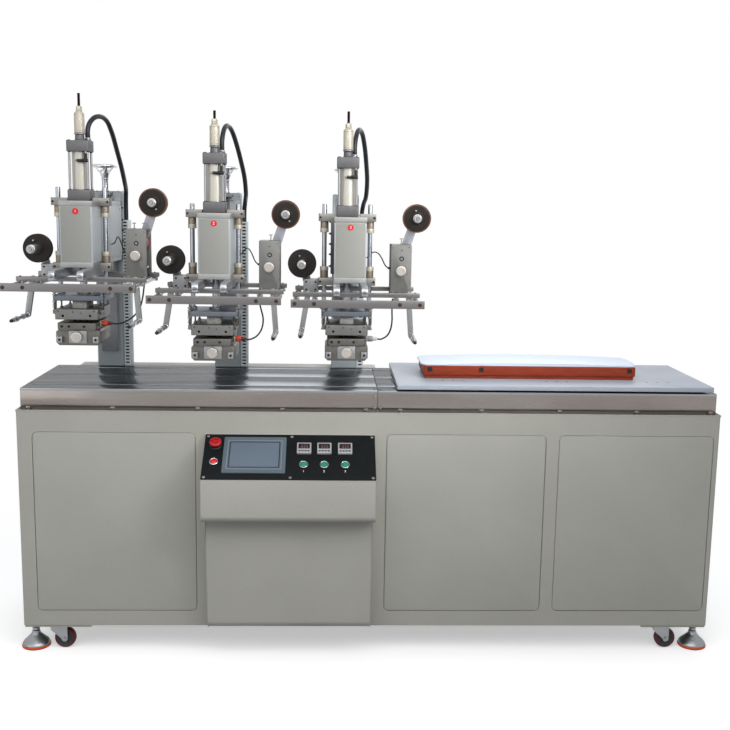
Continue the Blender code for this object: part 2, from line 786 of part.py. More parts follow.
def make_bed():
    front = BED_FRONT
    low = Vector((-BED_LENGTH / 2, front, BED_TOP - BED_HEIGHT + SEAT))
    high = Vector((BED_LENGTH / 2, front + BED_DEPTH, BED_TOP))
    body = block(low, high)
    left = STATIONS[0] - COLUMN_SIDE / 2 - BEAM_SIDE
    right = STATIONS[-1] + COLUMN_SIDE / 2 + BEAM_SIDE
    joined(body, block((left, high.y - SINK, low.z), (right, high.y + BEAM_DEPTH, high.z)))
    skirt = Vector((BED_SKIRT, BED_SKIRT, 0.0))
    cut(body, block(low + skirt - Vector((0, 0, OVERRUN)),
                    (high.x - BED_SKIRT, high.y - BED_SKIRT, high.z - BED_PLATE)))
    cut(body, block((left + BEAM_WALL, high.y + BEAM_WALL, low.z - OVERRUN),
                    (right - BEAM_WALL, high.y + BEAM_DEPTH - BEAM_WALL,
                     high.z - BEAM_WALL)))
    rail_top = high.z - RAIL_DROP
    for reach in (FRONT_SLOT_REACH, REAR_SLOT_REACH):
        middle = front + reach
        runner_top = rail_top - RAIL_HEIGHT
        joined(body, block((low.x + SINK, middle - RUNNER_WIDTH / 2,
                            runner_top - RUNNER_HEIGHT),
                           (high.x - SINK, middle + RUNNER_WIDTH / 2, runner_top)))
        joined(body, block((low.x + BED_SKIRT - SINK, middle - RAIL_WIDTH / 2,
                            runner_top - SINK),
                           (high.x - BED_SKIRT + SINK, middle + RAIL_WIDTH / 2, rail_top)))
        cut(body, block((low.x + SLOT_END_WALL, middle - SLOT_WIDTH / 2,
                         high.z - BED_PLATE - OVERRUN),
                        (high.x - SLOT_END_WALL, middle + SLOT_WIDTH / 2,
                         high.z + OVERRUN)))
    seam = front + SEAM_REACH
    cut(body, block((low.x - OVERRUN, seam - SEAM_WIDTH / 2, high.z - SEAM_DEPTH),
                    (high.x + OVERRUN, seam + SEAM_WIDTH / 2, high.z + OVERRUN)))
    return publish("bed", body, "stainless")


# Work table and fixture

def make_table():
    """The table in its own frame: left front lower corner of the plate at the origin."""
    plate = block((0, 0, 0), (TABLE_LENGTH, TABLE_DEPTH, TABLE_THICK))
    rail_top = -(TABLE_GAP + RAIL_DROP)
    for reach in (FRONT_SLOT_REACH, REAR_SLOT_REACH):
        middle = reach + TABLE_OVERHANG
        shoe_top = -(TABLE_GAP + BED_PLATE + RUN + RUN)
        joined(plate, block((WEB_END, middle - WEB_THICK / 2, shoe_top - SINK),
                            (TABLE_LENGTH - WEB_END, middle + WEB_THICK / 2, SINK)))
        for start in (WEB_END, TABLE_LENGTH - WEB_END - SHOE_LENGTH):
            shoe = block((start, middle - SHOE_WIDTH / 2, rail_top - SHOE_WALL_DROP),
                         (start + SHOE_LENGTH, middle + SHOE_WIDTH / 2, shoe_top))
            cut(shoe, block((start - OVERRUN, middle - RAIL_WIDTH / 2 - RUN,
                             rail_top - SHOE_WALL_DROP - OVERRUN),
                            (start + SHOE_LENGTH + OVERRUN, middle + RAIL_WIDTH / 2 + RUN,
                             rail_top + SEAT)))
            joined(plate, shoe)
    for group in HOLE_GROUPS:
        for i in range(HOLES_IN_GROUP):
            x = group - TABLE_LEFT + (i - (HOLES_IN_GROUP - 1) / 2) * HOLE_PITCH
            y = HOLE_ROW_REACH + TABLE_OVERHANG
            cut(plate, rod((x, y, -OVERRUN), (x, y, TABLE_THICK + OVERRUN), HOLE_RADIUS,
                           NUT_SIDES))
    return plate


def blank_height(share):
    """Height of the work blank's top along its length, from 0 at the left to 1."""
    return BLANK_RIM + (BLANK_HEIGHT - BLANK_RIM) * math.sin(math.pi * share) ** BLANK_FULLNESS


def make_fixture():
    """Board with plinth and clips, and the work blank, from the board's left front foot."""
    board = block((0, 0, BOARD_PLINTH), (BOARD_LENGTH, BOARD_DEPTH,
                                         BOARD_PLINTH + BOARD_HEIGHT), BOARD_EDGE)
    inset = BOARD_PLINTH_INSET
    joined(board, block((inset, inset, 0), (BOARD_LENGTH - inset, BOARD_DEPTH - inset,
                                            BOARD_PLINTH + BOARD_EDGE + SINK)))
    top = BOARD_PLINTH + BOARD_HEIGHT
    for share in CLIP_SHARES:
        x = share * BOARD_LENGTH
        joined(board, block((x - CLIP_WIDTH / 2, -CLIP_THICK, top - CLIP_HEIGHT),
                            (x + CLIP_WIDTH / 2, BOARD_EDGE + SINK, top - BOARD_EDGE)))
    outline = []
    for i in range(BLANK_STEPS + 1):
        share = i / BLANK_STEPS
        x = share * (BOARD_LENGTH + 2 * PAD_OVERHANG) - PAD_OVERHANG
        outline.append((x, top + SEAT + blank_height(share)))
    outline.append((BOARD_LENGTH + PAD_OVERHANG, top + SEAT))
    outline.append((-PAD_OVERHANG, top + SEAT))
    blank = extruded(outline, BLANK_DEPTH_TRIM, BOARD_DEPTH + BLANK_DEPTH_TRIM, "Y")
    return board, blank


# Console

def desk_outline(shrink, reach_back):
    """Side outline of the desk, (depth, height) from the bed front and bed top."""
    back = -CABINET_PROUD + reach_back
    top = -DESK_TOP_DROP
    face = -CABINET_PROUD - DESK_LEDGE - DESK_RUN
    slope_shift = shrink / math.cos(DESK_SLOPE)
    brow = face + shrink
    desk_edge = top - DESK_FALL
    bottom = desk_edge - DESK_FRONT
    roll = DESK_ROLL
    points = [(back, bottom - roll + shrink), (back, top - shrink)]
    points.append((-CABINET_PROUD - DESK_LEDGE, top - slope_shift))
    points.append((brow, desk_edge - slope_shift))
    points += arc((face + roll, bottom), roll - shrink, math.pi, THREE_QUARTERS)
    return points


def knee_outline(shrink, reach_back):
    """Side outline of the lower box, sloping back to its foot."""
    back = -CABINET_PROUD + reach_back
    top = -DESK_TOP_DROP - DESK_FALL - DESK_FRONT
    bottom = -BED_HEIGHT - CABINET_HEIGHT + KNEE_BOTTOM_RISE
    head = -CABINET_PROUD - KNEE_TOP_REACH
    foot = -CABINET_PROUD - KNEE_FOOT_REACH
    points = [(back, bottom + shrink), (back, top), (head + shrink, top)]
    points += arc((foot + KNEE_ROLL, bottom + KNEE_ROLL), KNEE_ROLL - shrink, math.pi,
                  THREE_QUARTERS)
    return points


def console_shapes(shrink, reach_back):
    """The desk and the lower box as two solids, drawn in all round by a sheet's width."""
    def placed(points):
        return [(BED_FRONT + depth, BED_TOP + height) for depth, height in points]

    half_desk = CONSOLE_WIDTH / 2 - shrink
    half_knee = KNEE_WIDTH / 2 - shrink
    desk = extruded(placed(desk_outline(shrink, reach_back - SEAT)),
                    CONSOLE_MIDDLE - half_desk, CONSOLE_MIDDLE + half_desk, "X")
    knee = extruded(placed(knee_outline(shrink, reach_back)), CONSOLE_MIDDLE - half_knee,
                    CONSOLE_MIDDLE + half_knee, "X")
    return desk, knee


def desk_frame():
    """Placement of the sloping desk: X along it, Y up the slope, Z out of it."""
    corner = Vector((CONSOLE_MIDDLE - CONSOLE_WIDTH / 2,
                     BED_FRONT - CABINET_PROUD - DESK_LEDGE, BED_TOP - DESK_TOP_DROP))
    return Matrix.Translation(corner) @ Matrix.Rotation(DESK_SLOPE, 4, "X")


def button_places():
    """Middles of the stop, then of the start buttons, from the panel's top left corner."""
    starts = [(x, -BUTTON_ROW) for x in COLUMN_PLACES]
    return (LEFT_COLUMN, -STOP_ROW), starts


def make_console():
    body = joined(*console_shapes(0.0, -SEAT))
    cut(body, *console_shapes(CONSOLE_SHEET, OVERRUN))
    stop, starts = button_places()
    frame = desk_frame()
    for (x, y), radius in [(stop, STOP_STEM), *((place, BUTTON_STEM) for place in starts)]:
        hole = bore((x, y, -OVERRUN), (x, y, OVERRUN), radius + RUN, SMALL_SIDES)
        cut(body, moved(hole, (0, 0, 0), frame))
    return publish("console", body, "cabinet_paint")


def make_control_panel(frame):
    """The black face with the screen, the controllers, the lamp and the button bezels."""
    face = block((0, -DESK_LENGTH, SEAT), (CONSOLE_WIDTH, 0, FACE_THICK))

    def raised(place, size, proud):
        x, y = place
        return block((x - size[0] / 2, -y - size[1] / 2, FACE_THICK - SINK),
                     (x + size[0] / 2, -y + size[1] / 2, FACE_THICK + proud))

    joined(face, raised(SCREEN_PLACE, SCREEN_SIZE, SCREEN_PROUD))
    x, y = SCREEN_PLACE
    top = FACE_THICK + SCREEN_PROUD
    cut(face, block((x - SCREEN_WINDOW[0] / 2, -y - SCREEN_WINDOW[1] / 2,
                     top - SCREEN_SINK),
                    (x + SCREEN_WINDOW[0] / 2, -y + SCREEN_WINDOW[1] / 2, top + OVERRUN)))
    for x in COLUMN_PLACES:
        joined(face, raised((x, CONTROLLER_ROW), (CONTROLLER_SIZE, CONTROLLER_SIZE),
                            CONTROLLER_PROUD))
    joined(face, bezel((LEFT_COLUMN, -LAMP_ROW), BEZEL_RADIUS, BEZEL_PROUD))
    joined(face, bezel((LEFT_COLUMN, -LAMP_ROW), LAMP_RADIUS, LAMP_PROUD))
    stop, starts = button_places()
    joined(face, bezel(stop, COLLAR_RADIUS, COLLAR_PROUD))
    cut(face, rod((*stop, -OVERRUN), (*stop, OVERRUN), STOP_STEM + RUN, SMALL_SIDES))
    for place in starts:
        joined(face, bezel(place, BEZEL_RADIUS, BEZEL_PROUD))
        cut(face, bore((*place, FACE_THICK + SINK), (*place, OVERRUN), BUTTON_RADIUS + RUN))
        cut(face, bore((*place, -OVERRUN), (*place, OVERRUN), BUTTON_STEM + RUN,
                       SMALL_SIDES))
    moved(face, (0, 0, 0), frame)
    return publish("control_panel", face, "console_black")


def bezel(place, radius, proud):
    """A low round seat on the panel, solid until its hole is cut."""
    return rod((*place, FACE_THICK - SINK), (*place, FACE_THICK + proud), radius)


def stop_button():
    """Mushroom button about its own axis, with its panel face at height zero."""
    under = COLLAR_PROUD + STOP_TRAVEL + RUN
    crown = under + STOP_HEIGHT
    dome = arc((STOP_RADIUS - STOP_DOME, crown - STOP_DOME), STOP_DOME, FULL_TURN / 4, 0.0,
               CORNER_STEPS)
    head = turned([(0.0, crown), *dome, (STOP_RADIUS, under), (0.0, under)])
    stem = rod((0, 0, under - STOP_STEM_LENGTH), (0, 0, under + SINK), STOP_STEM,
               SMALL_SIDES)
    return joined(head, stem)


def start_button():
    """Flush button about its own axis, with its panel face at height zero."""
    crown = BUTTON_PROUD
    foot = SINK + BUTTON_TRAVEL + RUN
    head = turned([(0.0, crown), (BUTTON_RADIUS - BEZEL_EDGE, crown),
                   (BUTTON_RADIUS, crown - BEZEL_EDGE), (BUTTON_RADIUS, foot), (0.0, foot)])
    stem = rod((0, 0, foot - BUTTON_STEM_LENGTH), (0, 0, foot + SINK), BUTTON_STEM,
               SMALL_SIDES)
    return joined(head, stem)


def make_buttons(frame):
    stop, starts = button_places()
    slope = marker("desk_slope", frame.to_translation())
    slope.rotation_euler = (DESK_SLOPE, 0.0, 0.0)
    publish("emergency_stop", stop_button(), "stop_red", slope, (*stop, FACE_THICK))
    for i, place in enumerate(starts, 1):
        publish("start_button_%d" % i, start_button(), "button_green", slope,
                (*place, FACE_THICK))


# Feet and castors

def levelling_foot():
    """Cone foot about its own axis, standing on the floor at height zero."""
    stud_top = GROUND_GAP + CABINET_SHEET + FOOT_NUT_HEIGHT
    under_pad = GROUND_GAP - PAD_THICK - SEAT
    cone_top = FOOT_RIM + FOOT_CONE
    cone = [(0.0, cone_top), (FOOT_NECK, cone_top),
            (FOOT_RADIUS - FOOT_SHOULDER, FOOT_RIM + FOOT_SHOULDER),
            (FOOT_RADIUS, FOOT_RIM), (FOOT_RADIUS, 0.0), (0.0, 0.0)]
    foot = turned(cone)
    joined(foot, rod((0, 0, cone_top - SINK), (0, 0, stud_top), FOOT_STUD, NUT_SIDES))
    joined(foot, rod((0, 0, under_pad - FOOT_NUT_HEIGHT), (0, 0, under_pad), FOOT_NUT,
                     NUT_SIDES))
    return foot


def castor_wheel():
    """Wheel about the Y axis."""
    tread = WHEEL_WIDTH / 2
    rim = WHEEL_RADIUS - TREAD_DEPTH
    web = tread / 2
    hub = HUB_WIDTH / 2
    eye = AXLE_RADIUS + RUN
    profile = [(eye, hub), (HUB_RADIUS, hub), (rim, tread), (WHEEL_RADIUS, web)]
    profile += [(radius, -height) for radius, height in reversed(profile)]
    wheel = turned(profile, ROUND_SIDES, closed=True)
    return moved(wheel, (0, 0, 0), Matrix.Rotation(FULL_TURN / 4, 4, "X"))


def castor_fork(pedal=True):
    """Fork with its kingpin at the origin, top plate up, wheel trailing along +X."""
    axle = castor_axle()
    crown = -TOP_PLATE_THICK - (SWIVEL_HEIGHT if pedal else 0.0)
    half = FORK_GAP / 2
    body = block((-TOP_PLATE / 2, -TOP_PLATE / 2, -TOP_PLATE_THICK),
                 (TOP_PLATE / 2, TOP_PLATE / 2, -SEAT if pedal else SINK))
    if pedal:
        joined(body, rod((0, 0, crown - SINK), (0, 0, -TOP_PLATE_THICK + SINK),
                         SWIVEL_RADIUS))
    joined(body, block((SINK - FORK_LEG, -half - SINK, crown - FORK_SHEET),
                       (CASTOR_TRAIL + FORK_FOOT - SINK, half + SINK, crown + SINK)))
    cheek = [(-FORK_LEG, crown - SINK), (-FORK_LEG, crown - FORK_LEG)]
    cheek += arc((axle.x, axle.z), FORK_FOOT, math.pi, 2 * math.pi, TIP_STEPS)
    cheek += [(CASTOR_TRAIL + FORK_FOOT, crown - SINK)]
    for low in (-half - FORK_SHEET, half):
        joined(body, extruded(cheek, low, low + FORK_SHEET, "Y"))
    joined(body, rod((axle.x, -half - FORK_SHEET - FORK_SHEET, axle.z),
                     (axle.x, half + FORK_SHEET + FORK_SHEET, axle.z), AXLE_RADIUS,
                     SMALL_SIDES))
    if pedal:
        start = CASTOR_TRAIL + FORK_FOOT - SINK
        joined(body, block((start, -PEDAL_WIDTH / 2, crown - FORK_SHEET - PEDAL_THICK),
                           (start + PEDAL_LENGTH, PEDAL_WIDTH / 2, crown - FORK_SHEET / 2)))
    return body


def castor_axle():
    """Axle place from the kingpin at the pad's underside."""
    drop = GROUND_GAP - PAD_THICK - WHEEL_RADIUS - WHEEL_LIFT
    return Vector((CASTOR_TRAIL, 0.0, -drop))


def make_undercarriage():
    corners = ("front_left", "front_right", "rear_left", "rear_right")
    for name, (x, y) in zip(corners, foot_places()):
        publish("levelling_foot_" + name, levelling_foot(), "foot_black", None, (x, y, 0.0))
    pin_height = GROUND_GAP - PAD_THICK
    for name, (x, y) in zip(corners, castor_places()):
        kingpin = marker("kingpin_" + name, (x, y, pin_height))
        if name.startswith("front"):
            publish("castor_fork_" + name, castor_fork(), "zinc", kingpin)
        publish("castor_wheel_" + name, castor_wheel(), "wheel_red", kingpin,
                castor_axle())


# Column with its guide and duct, from the station's middle on the bed

def make_column(name, station):
    half = COLUMN_SIDE / 2
    front = COLUMN_REACH
    body = block((-half, front, SEAT), (half, front + COLUMN_SIDE, COLUMN_HEIGHT))
    cut(body, block((-half + COLUMN_WALL, front + COLUMN_WALL, -OVERRUN),
                    (half - COLUMN_WALL, front + COLUMN_SIDE - COLUMN_WALL,
                     COLUMN_HEIGHT - COLUMN_WALL)))
    guide = [(-GUIDE_WAIST, front + SINK), (-GUIDE_WAIST, front),
             (-GUIDE_HALF, front - GUIDE_THICK), (GUIDE_HALF, front - GUIDE_THICK),
             (GUIDE_WAIST, front), (GUIDE_WAIST, front + SINK)]
    guide_top = COLUMN_HEIGHT - LUG_DROP - LUG_THICK - GUIDE_TOP
    joined(body, extruded(guide, GUIDE_FOOT, guide_top, "Z"))
    lug_top = COLUMN_HEIGHT - LUG_DROP
    lug = block((-LUG_HALF, front - LUG_REACH, lug_top - LUG_THICK),
                (LUG_HALF, front + SINK, lug_top))
    screw_place = front - SCREW_REACH
    cut(lug, bore((0, screw_place, lug_top - LUG_THICK - OVERRUN),
                  (0, screw_place, lug_top + OVERRUN), SCREW_RADIUS + RUN, SMALL_SIDES))
    joined(body, lug)
    joined(body, wire_duct(half, front + DUCT_SETBACK))
    return publish(name, body, "column_paint", station)


def wire_duct(left, front):
    """Slotted duct with an open top, standing against the column's right side."""
    right = left + DUCT_WIDTH
    back = front + DUCT_DEPTH
    duct = block((left - SINK, front, SEAT), (right, back, DUCT_HEIGHT))
    cut(duct, block((left + DUCT_WALL, front + DUCT_WALL, SEAT + DUCT_WALL),
                    (right - DUCT_WALL, back - DUCT_WALL, DUCT_HEIGHT + OVERRUN)))
    count = int((DUCT_HEIGHT - DUCT_SLOT_PITCH) / DUCT_SLOT_PITCH)
    for i in range(count):
        low = (i + 0.5) * DUCT_SLOT_PITCH
        cut(duct, block((right - DUCT_WALL - SINK, front + DUCT_SLOT_MARGIN, low),
                        (right + OVERRUN, back - DUCT_SLOT_MARGIN,
                         low + DUCT_SLOT_HEIGHT)))
    return duct


# Head housing

def make_housing(name, head):
    half = HOUSING_HALF
    body = block((-half, HOUSING_FRONT, HOUSING_BOTTOM),
                 (half, HOUSING_BACK, HOUSING_TOP))
    sheet = HOUSING_SHEET
    cut(body, block((-half + sheet, HOUSING_FRONT + sheet, HOUSING_BOTTOM + PLATE_THICK),
                    (half - sheet, HOUSING_BACK - sheet, HOUSING_TOP - PLATE_THICK)))
    for low in (HOUSING_BOTTOM, HOUSING_TOP - PLATE_THICK):
        joined(body, block((-half - PLATE_LIP, HOUSING_FRONT - PLATE_LIP, low),
                           (half + PLATE_LIP, PLATE_BACK, low + PLATE_THICK)))
    ear_front = RAM_REACH - EAR_DEPTH / 2
    for low in (HOUSING_BOTTOM + SINK, HOUSING_TOP - EAR_THICK - SINK):
        joined(body, block((-EAR_HALF, ear_front, low), (EAR_HALF, ear_front + EAR_DEPTH,
                                                         low + EAR_THICK)))
    for side in (-GUIDE_SPACING, GUIDE_SPACING):
        upper = HOUSING_TOP - EAR_THICK - SINK
        lower = HOUSING_BOTTOM + EAR_THICK + SINK
        joined(body, rod((side, RAM_REACH, upper - BUSH_LENGTH),
                         (side, RAM_REACH, upper + SINK), BUSH_RADIUS, SMALL_SIDES))
        joined(body, rod((side, RAM_REACH, lower - SINK),
                         (side, RAM_REACH, lower + BUSH_LENGTH), BUSH_RADIUS,
                         SMALL_SIDES))
    joined(body, carriage())
    for side in (-GUIDE_SPACING, GUIDE_SPACING):
        cut(body, bore((side, RAM_REACH, HOUSING_BOTTOM - OVERRUN),
                       (side, RAM_REACH, HOUSING_TOP + OVERRUN), GUIDE_ROD + RUN,
                       SMALL_SIDES))
    cut(body, bore((0, RAM_REACH, HOUSING_BOTTOM - OVERRUN),
                   (0, RAM_REACH, HOUSING_TOP + OVERRUN), PISTON_ROD + RUN))
    return publish(name, body, "head_paint", head)


def carriage():
    """Block behind the housing with a dovetail groove and the lifting screw's bore."""
    back = COLUMN_REACH - RUN
    front = back - CARRIAGE_DEPTH
    body = block((-CARRIAGE_HALF, front, HOUSING_BOTTOM - SINK),
                 (CARRIAGE_HALF, back, HOUSING_TOP + SINK))
    waist = GUIDE_WAIST + RUN
    half = GUIDE_HALF + RUN + RUN * GUIDE_SLOPE
    face = COLUMN_REACH - GUIDE_THICK - RUN
    groove = [(-waist, COLUMN_REACH + OVERRUN), (-waist, COLUMN_REACH), (-half, face),
              (half, face), (waist, COLUMN_REACH), (waist, COLUMN_REACH + OVERRUN)]
    cut(body, extruded(groove, HOUSING_BOTTOM - OVERRUN, HOUSING_TOP + OVERRUN, "Z"))
    screw_place = COLUMN_REACH - SCREW_REACH
    cut(body, bore((0, screw_place, HOUSING_BOTTOM - OVERRUN),
                   (0, screw_place, HOUSING_TOP + OVERRUN), SCREW_RADIUS + RUN,
                   SMALL_SIDES))
    return body


# Air cylinder, from the bottom cap's underside on the ram's axis

def make_cylinder(name, head):
    cap_top = CAP_HEIGHT + BARREL_LENGTH
    head_top = cap_top + CAP_HEIGHT
    half = CAP_HALF
    body = block((-half, -half, 0), (half, half, CAP_HEIGHT))
    joined(body, block((-half, -half, cap_top), (half, half, head_top)))
    joined(body, bore((0, 0, CAP_HEIGHT - SINK), (0, 0, cap_top + SINK),
                      PISTON_RADIUS + RUN + BARREL_WALL))
    place = half - TIE_INSET
    for sx, sy in ((1, 1), (-1, 1), (-1, -1), (1, -1)):
        joined(body, rod((sx * place, sy * place, CAP_HEIGHT - SINK),
                         (sx * place, sy * place, cap_top + SINK), TIE_RADIUS, NUT_SIDES))
    joined(body, rod((0, 0, head_top - SINK), (0, 0, head_top + NECK_HEIGHT), NECK_RADIUS))
    gland_x, gland_y = GLAND_PLACE
    joined(body, rod((gland_x, gland_y, head_top - SINK),
                     (gland_x, gland_y, head_top + GLAND_HEIGHT), GLAND_RADIUS, SMALL_SIDES))
    x, y = PORT_PLACE
    height = CAP_HEIGHT + PORT_RISE
    joined(body, rod((0, y, height), (PORT_REACH, y, height), PORT_RADIUS, NUT_SIDES))
    joined(body, rod((x, y, height), (x, y, cap_top + SINK), PORT_STEM, NUT_SIDES))
    cut(body, bore((0, 0, CAP_HEIGHT - BORE_SINK), (0, 0, cap_top + BORE_SINK),
                   PISTON_RADIUS + RUN))
    cut(body, bore((0, 0, -OVERRUN), (0, 0, CAP_HEIGHT), PISTON_ROD + RUN))
    cut(body, bore((0, 0, cap_top), (0, 0, head_top + NECK_HEIGHT + OVERRUN),
                   TAIL_ROD + RUN))
    return publish(name, body, "aluminium", head, (0.0, RAM_REACH, HOUSING_TOP + SEAT))


# Ram and die holder, from the ram's axis at the bed top, at the lowest setting

def make_ram(name, head, setting):
    base = HOUSING_TOP + SEAT
    piston_low = base + CAP_HEIGHT - BORE_SINK + RUN
    neck_top = base + CYLINDER_HEIGHT + NECK_HEIGHT - setting
    ring_low = neck_top + SEAT
    sleeve_low = ring_low + STOP_RING_HEIGHT
    sleeve_top = sleeve_low + SLEEVE_LENGTH
    nut_top = sleeve_top + LOCK_NUT_HEIGHT
    body = block((-PRESS_HALF, PRESS_FRONT, PRESS_TOP - PRESS_THICK),
                 (PRESS_HALF, PRESS_BACK, PRESS_TOP))
    spine = [(0.0, STUD_TOP), (STUD_RADIUS, STUD_TOP), (STUD_RADIUS, nut_top),
             (LOCK_NUT, nut_top), (LOCK_NUT, sleeve_top),
             (SLEEVE_RADIUS - SLEEVE_TAPER, sleeve_top),
             (SLEEVE_RADIUS, sleeve_top - SLEEVE_TAPER), (SLEEVE_RADIUS, sleeve_low),
             (STOP_RING, ring_low), (TAIL_ROD, ring_low),
             (TAIL_ROD, piston_low + PISTON_HEIGHT),
             (PISTON_RADIUS, piston_low + PISTON_HEIGHT), (PISTON_RADIUS, piston_low),
             (PISTON_ROD, piston_low), (PISTON_ROD, PRESS_TOP - SINK),
             (0.0, PRESS_TOP - SINK)]
    joined(body, turned(spine))
    for side in (-GUIDE_SPACING, GUIDE_SPACING):
        post = [(0.0, ROD_TOP), (GUIDE_ROD, ROD_TOP),
                (GUIDE_ROD, PRESS_TOP + ROD_BOSS_HEIGHT),
                (ROD_BOSS, PRESS_TOP + ROD_BOSS_HEIGHT), (ROD_BOSS, PRESS_TOP - SINK),
                (0.0, PRESS_TOP - SINK)]
        joined(body, moved(turned(post, SMALL_SIDES), (side, 0, 0)))
    return publish(name, body, "bright_steel", head, (0.0, RAM_REACH, setting))


def make_die_head(name, ram):
    half = HOLDER_HALF
    heater = block((-half, HOLDER_FRONT, HEATER_BOTTOM), (half, HOLDER_BACK, HEATER_TOP))
    press_under = PRESS_TOP - PRESS_THICK - SEAT
    for side in (-1, 1):
        outer = side * (half - HANGER_INSET)
        inner = outer - side * HANGER_THICK
        joined(heater, block((min(outer, inner), -HANGER_DEPTH, HEATER_TOP - SINK),
                             (max(outer, inner), HANGER_DEPTH, press_under)))
        hole_x = side * HEATER_HOLE_SPREAD
        hole_z = HEATER_TOP - HEATER_HOLE_DROP
        cut(heater, rod((hole_x, HOLDER_FRONT - OVERRUN, hole_z),
                        (hole_x, HOLDER_FRONT + HEATER_HOLE_DEPTH, hole_z), HEATER_HOLE,
                        SMALL_SIDES))
    joined(heater, block((-SPACER_HALF, -SPACER_DEPTH, SLIDE_TOP - SINK),
                         (SPACER_HALF, SPACER_DEPTH, HEATER_BOTTOM + SINK)))
    slide = block((-SLIDE_HALF, HOLDER_FRONT, SLIDE_BOTTOM),
                  (SLIDE_HALF, HOLDER_BACK, SLIDE_TOP))
    joined(heater, slide)
    back = HOLDER_BACK - DIE_INSET
    front = HOLDER_FRONT + DIE_INSET
    die = [(-DIE_HALF, SLIDE_BOTTOM - SLIDE_GROOVE), (-DIE_HALF, DIE_BOTTOM + DIE_CHAMFER),
           (-DIE_HALF + DIE_CHAMFER, DIE_BOTTOM), (DIE_HALF - DIE_CHAMFER, DIE_BOTTOM),
           (DIE_HALF, DIE_BOTTOM + DIE_CHAMFER), (DIE_HALF, SLIDE_BOTTOM - SLIDE_GROOVE),
           (SLIDE_HALF - DIE_CHAMFER, SLIDE_BOTTOM + SINK),
           (-SLIDE_HALF + DIE_CHAMFER, SLIDE_BOTTOM + SINK)]
    joined(heater, extruded(die, front, back, "Y"))
    plug_end = SLIDE_HALF + PLUG_LENGTH
    plug = [(0.0, plug_end + GLAND_LENGTH), (GLAND_TAPER, plug_end + GLAND_LENGTH),
            (PLUG_RADIUS, plug_end), (PLUG_RADIUS, SLIDE_HALF - SINK),
            (0.0, SLIDE_HALF - SINK)]
    joined(heater, moved(turned(plug, SMALL_SIDES), (0, PLUG_PLACE, PLUG_RISE),
                         Matrix.Rotation(FULL_TURN / 4, 4, "Y")))
    cut(heater, bore((0, front - OVERRUN, KNOB_HEIGHT),
                     (0, front + KNOB_SHAFT_LENGTH, KNOB_HEIGHT), KNOB_SHAFT + RUN,
                     SMALL_SIDES))
    return publish(name, heater, "ground_steel", ram)


def knob_shape(radius, standoff, outer):
    """Knob with its shaft along Y, facing the front."""
    head = turned([(0.0, outer), (radius - KNOB_EDGE, outer), (radius, outer - KNOB_EDGE),
                   (radius, standoff), (0.0, standoff)])
    shaft = rod((0, 0, OVERRUN - KNOB_SHAFT_LENGTH), (0, 0, standoff + SINK), KNOB_SHAFT,
                SMALL_SIDES)
    return moved(joined(head, shaft), (0, 0, 0), Matrix.Rotation(FULL_TURN / 4, 4, "X"))


def make_die_knob(name, ram):
    """Adjusting knob about the Y axis, with the die block's front at zero depth."""
    outer = KNOB_STANDOFF + KNOB_THICK
    knob = knob_shape(KNOB_RADIUS, KNOB_STANDOFF, outer)
    place = (0.0, HOLDER_FRONT + DIE_INSET, KNOB_HEIGHT)
    return publish(name, knob, "chrome", ram, place)


# Handwheel and lifting screw, from the screw's axis at the bed top

def make_handwheel(name, station):
    seat = COLUMN_HEIGHT - LUG_DROP + SEAT
    rim_place = HANDWHEEL_RADIUS - RIM_RADIUS
    rim = arc((rim_place, HANDWHEEL_RISE), RIM_RADIUS, FULL_TURN / 2 - RIM_MOUTH,
              RIM_MOUTH - FULL_TURN / 2)
    web = HANDWHEEL_RISE - DISH_DROP
    profile = [(0.0, web + WHEEL_HUB_RISE), (WHEEL_HUB, web + WHEEL_HUB_RISE),
               (WHEEL_HUB, web + DISH_THICK), *rim, (WHEEL_HUB, web),
               (WHEEL_SHAFT, web - DISH_THICK), (WHEEL_SHAFT, seat), (SCREW_RADIUS, seat),
               (SCREW_RADIUS, SCREW_END),
               (0.0, SCREW_END)]
    wheel = turned(profile, ROUND_SIDES)
    place = (0.0, COLUMN_REACH - SCREW_REACH, 0.0)
    return publish(name, wheel, "chrome", station, place)


# Foil frame

def make_foil_frame(name, head):
    bar = block((FRAME_LEFT, BAR_FRONT, BAR_BOTTOM),
                (FRAME_RIGHT, BAR_FRONT + BAR_THICK, BAR_BOTTOM + BAR_HEIGHT))
    rail_height = BAR_BOTTOM + BAR_HEIGHT / 2
    front = BAR_FRONT + BAR_THICK - SINK
    for x in FRAME_RAILS:
        joined(bar, rod((x, front, rail_height), (x, FRAME_BACK - SINK, rail_height),
                        RAIL_RADIUS, NUT_SIDES))
    low = rail_height + RAIL_RADIUS - SINK
    for back in (CROSS_REACH, FRAME_BACK):
        joined(bar, block((FRAME_LEFT, back - CROSS_DEPTH, low),
                          (FRAME_RIGHT, back, CROSS_BOTTOM + CROSS_HEIGHT)))
    eye_height = HOUSING_BOTTOM - SEAT - ARM_HEIGHT / 2
    for side in (-ARM_SPREAD, ARM_SPREAD):
        nose = arc((ARM_FRONT + ARM_HEIGHT / 2, eye_height), ARM_HEIGHT / 2, FULL_TURN / 4,
                   FULL_TURN * 3 / 4, TIP_STEPS)
        outline = [*nose, (ARM_BACK, eye_height - ARM_HEIGHT / 2),
                   (ARM_BACK, eye_height + ARM_HEIGHT / 2)]
        arm = extruded(outline, side - ARM_THICK / 2, side + ARM_THICK / 2, "X")
        joined(bar, arm)
    for start, end in (LEFT_DROP, RIGHT_DROP):
        joined(bar, *drop_arm(start, end))
    joined(bar, *supply_carrier())
    joined(bar, *feed_unit())
    place = (0.0, 0.0, 0.0)
    return publish(name, bar, "aluminium", head, place)


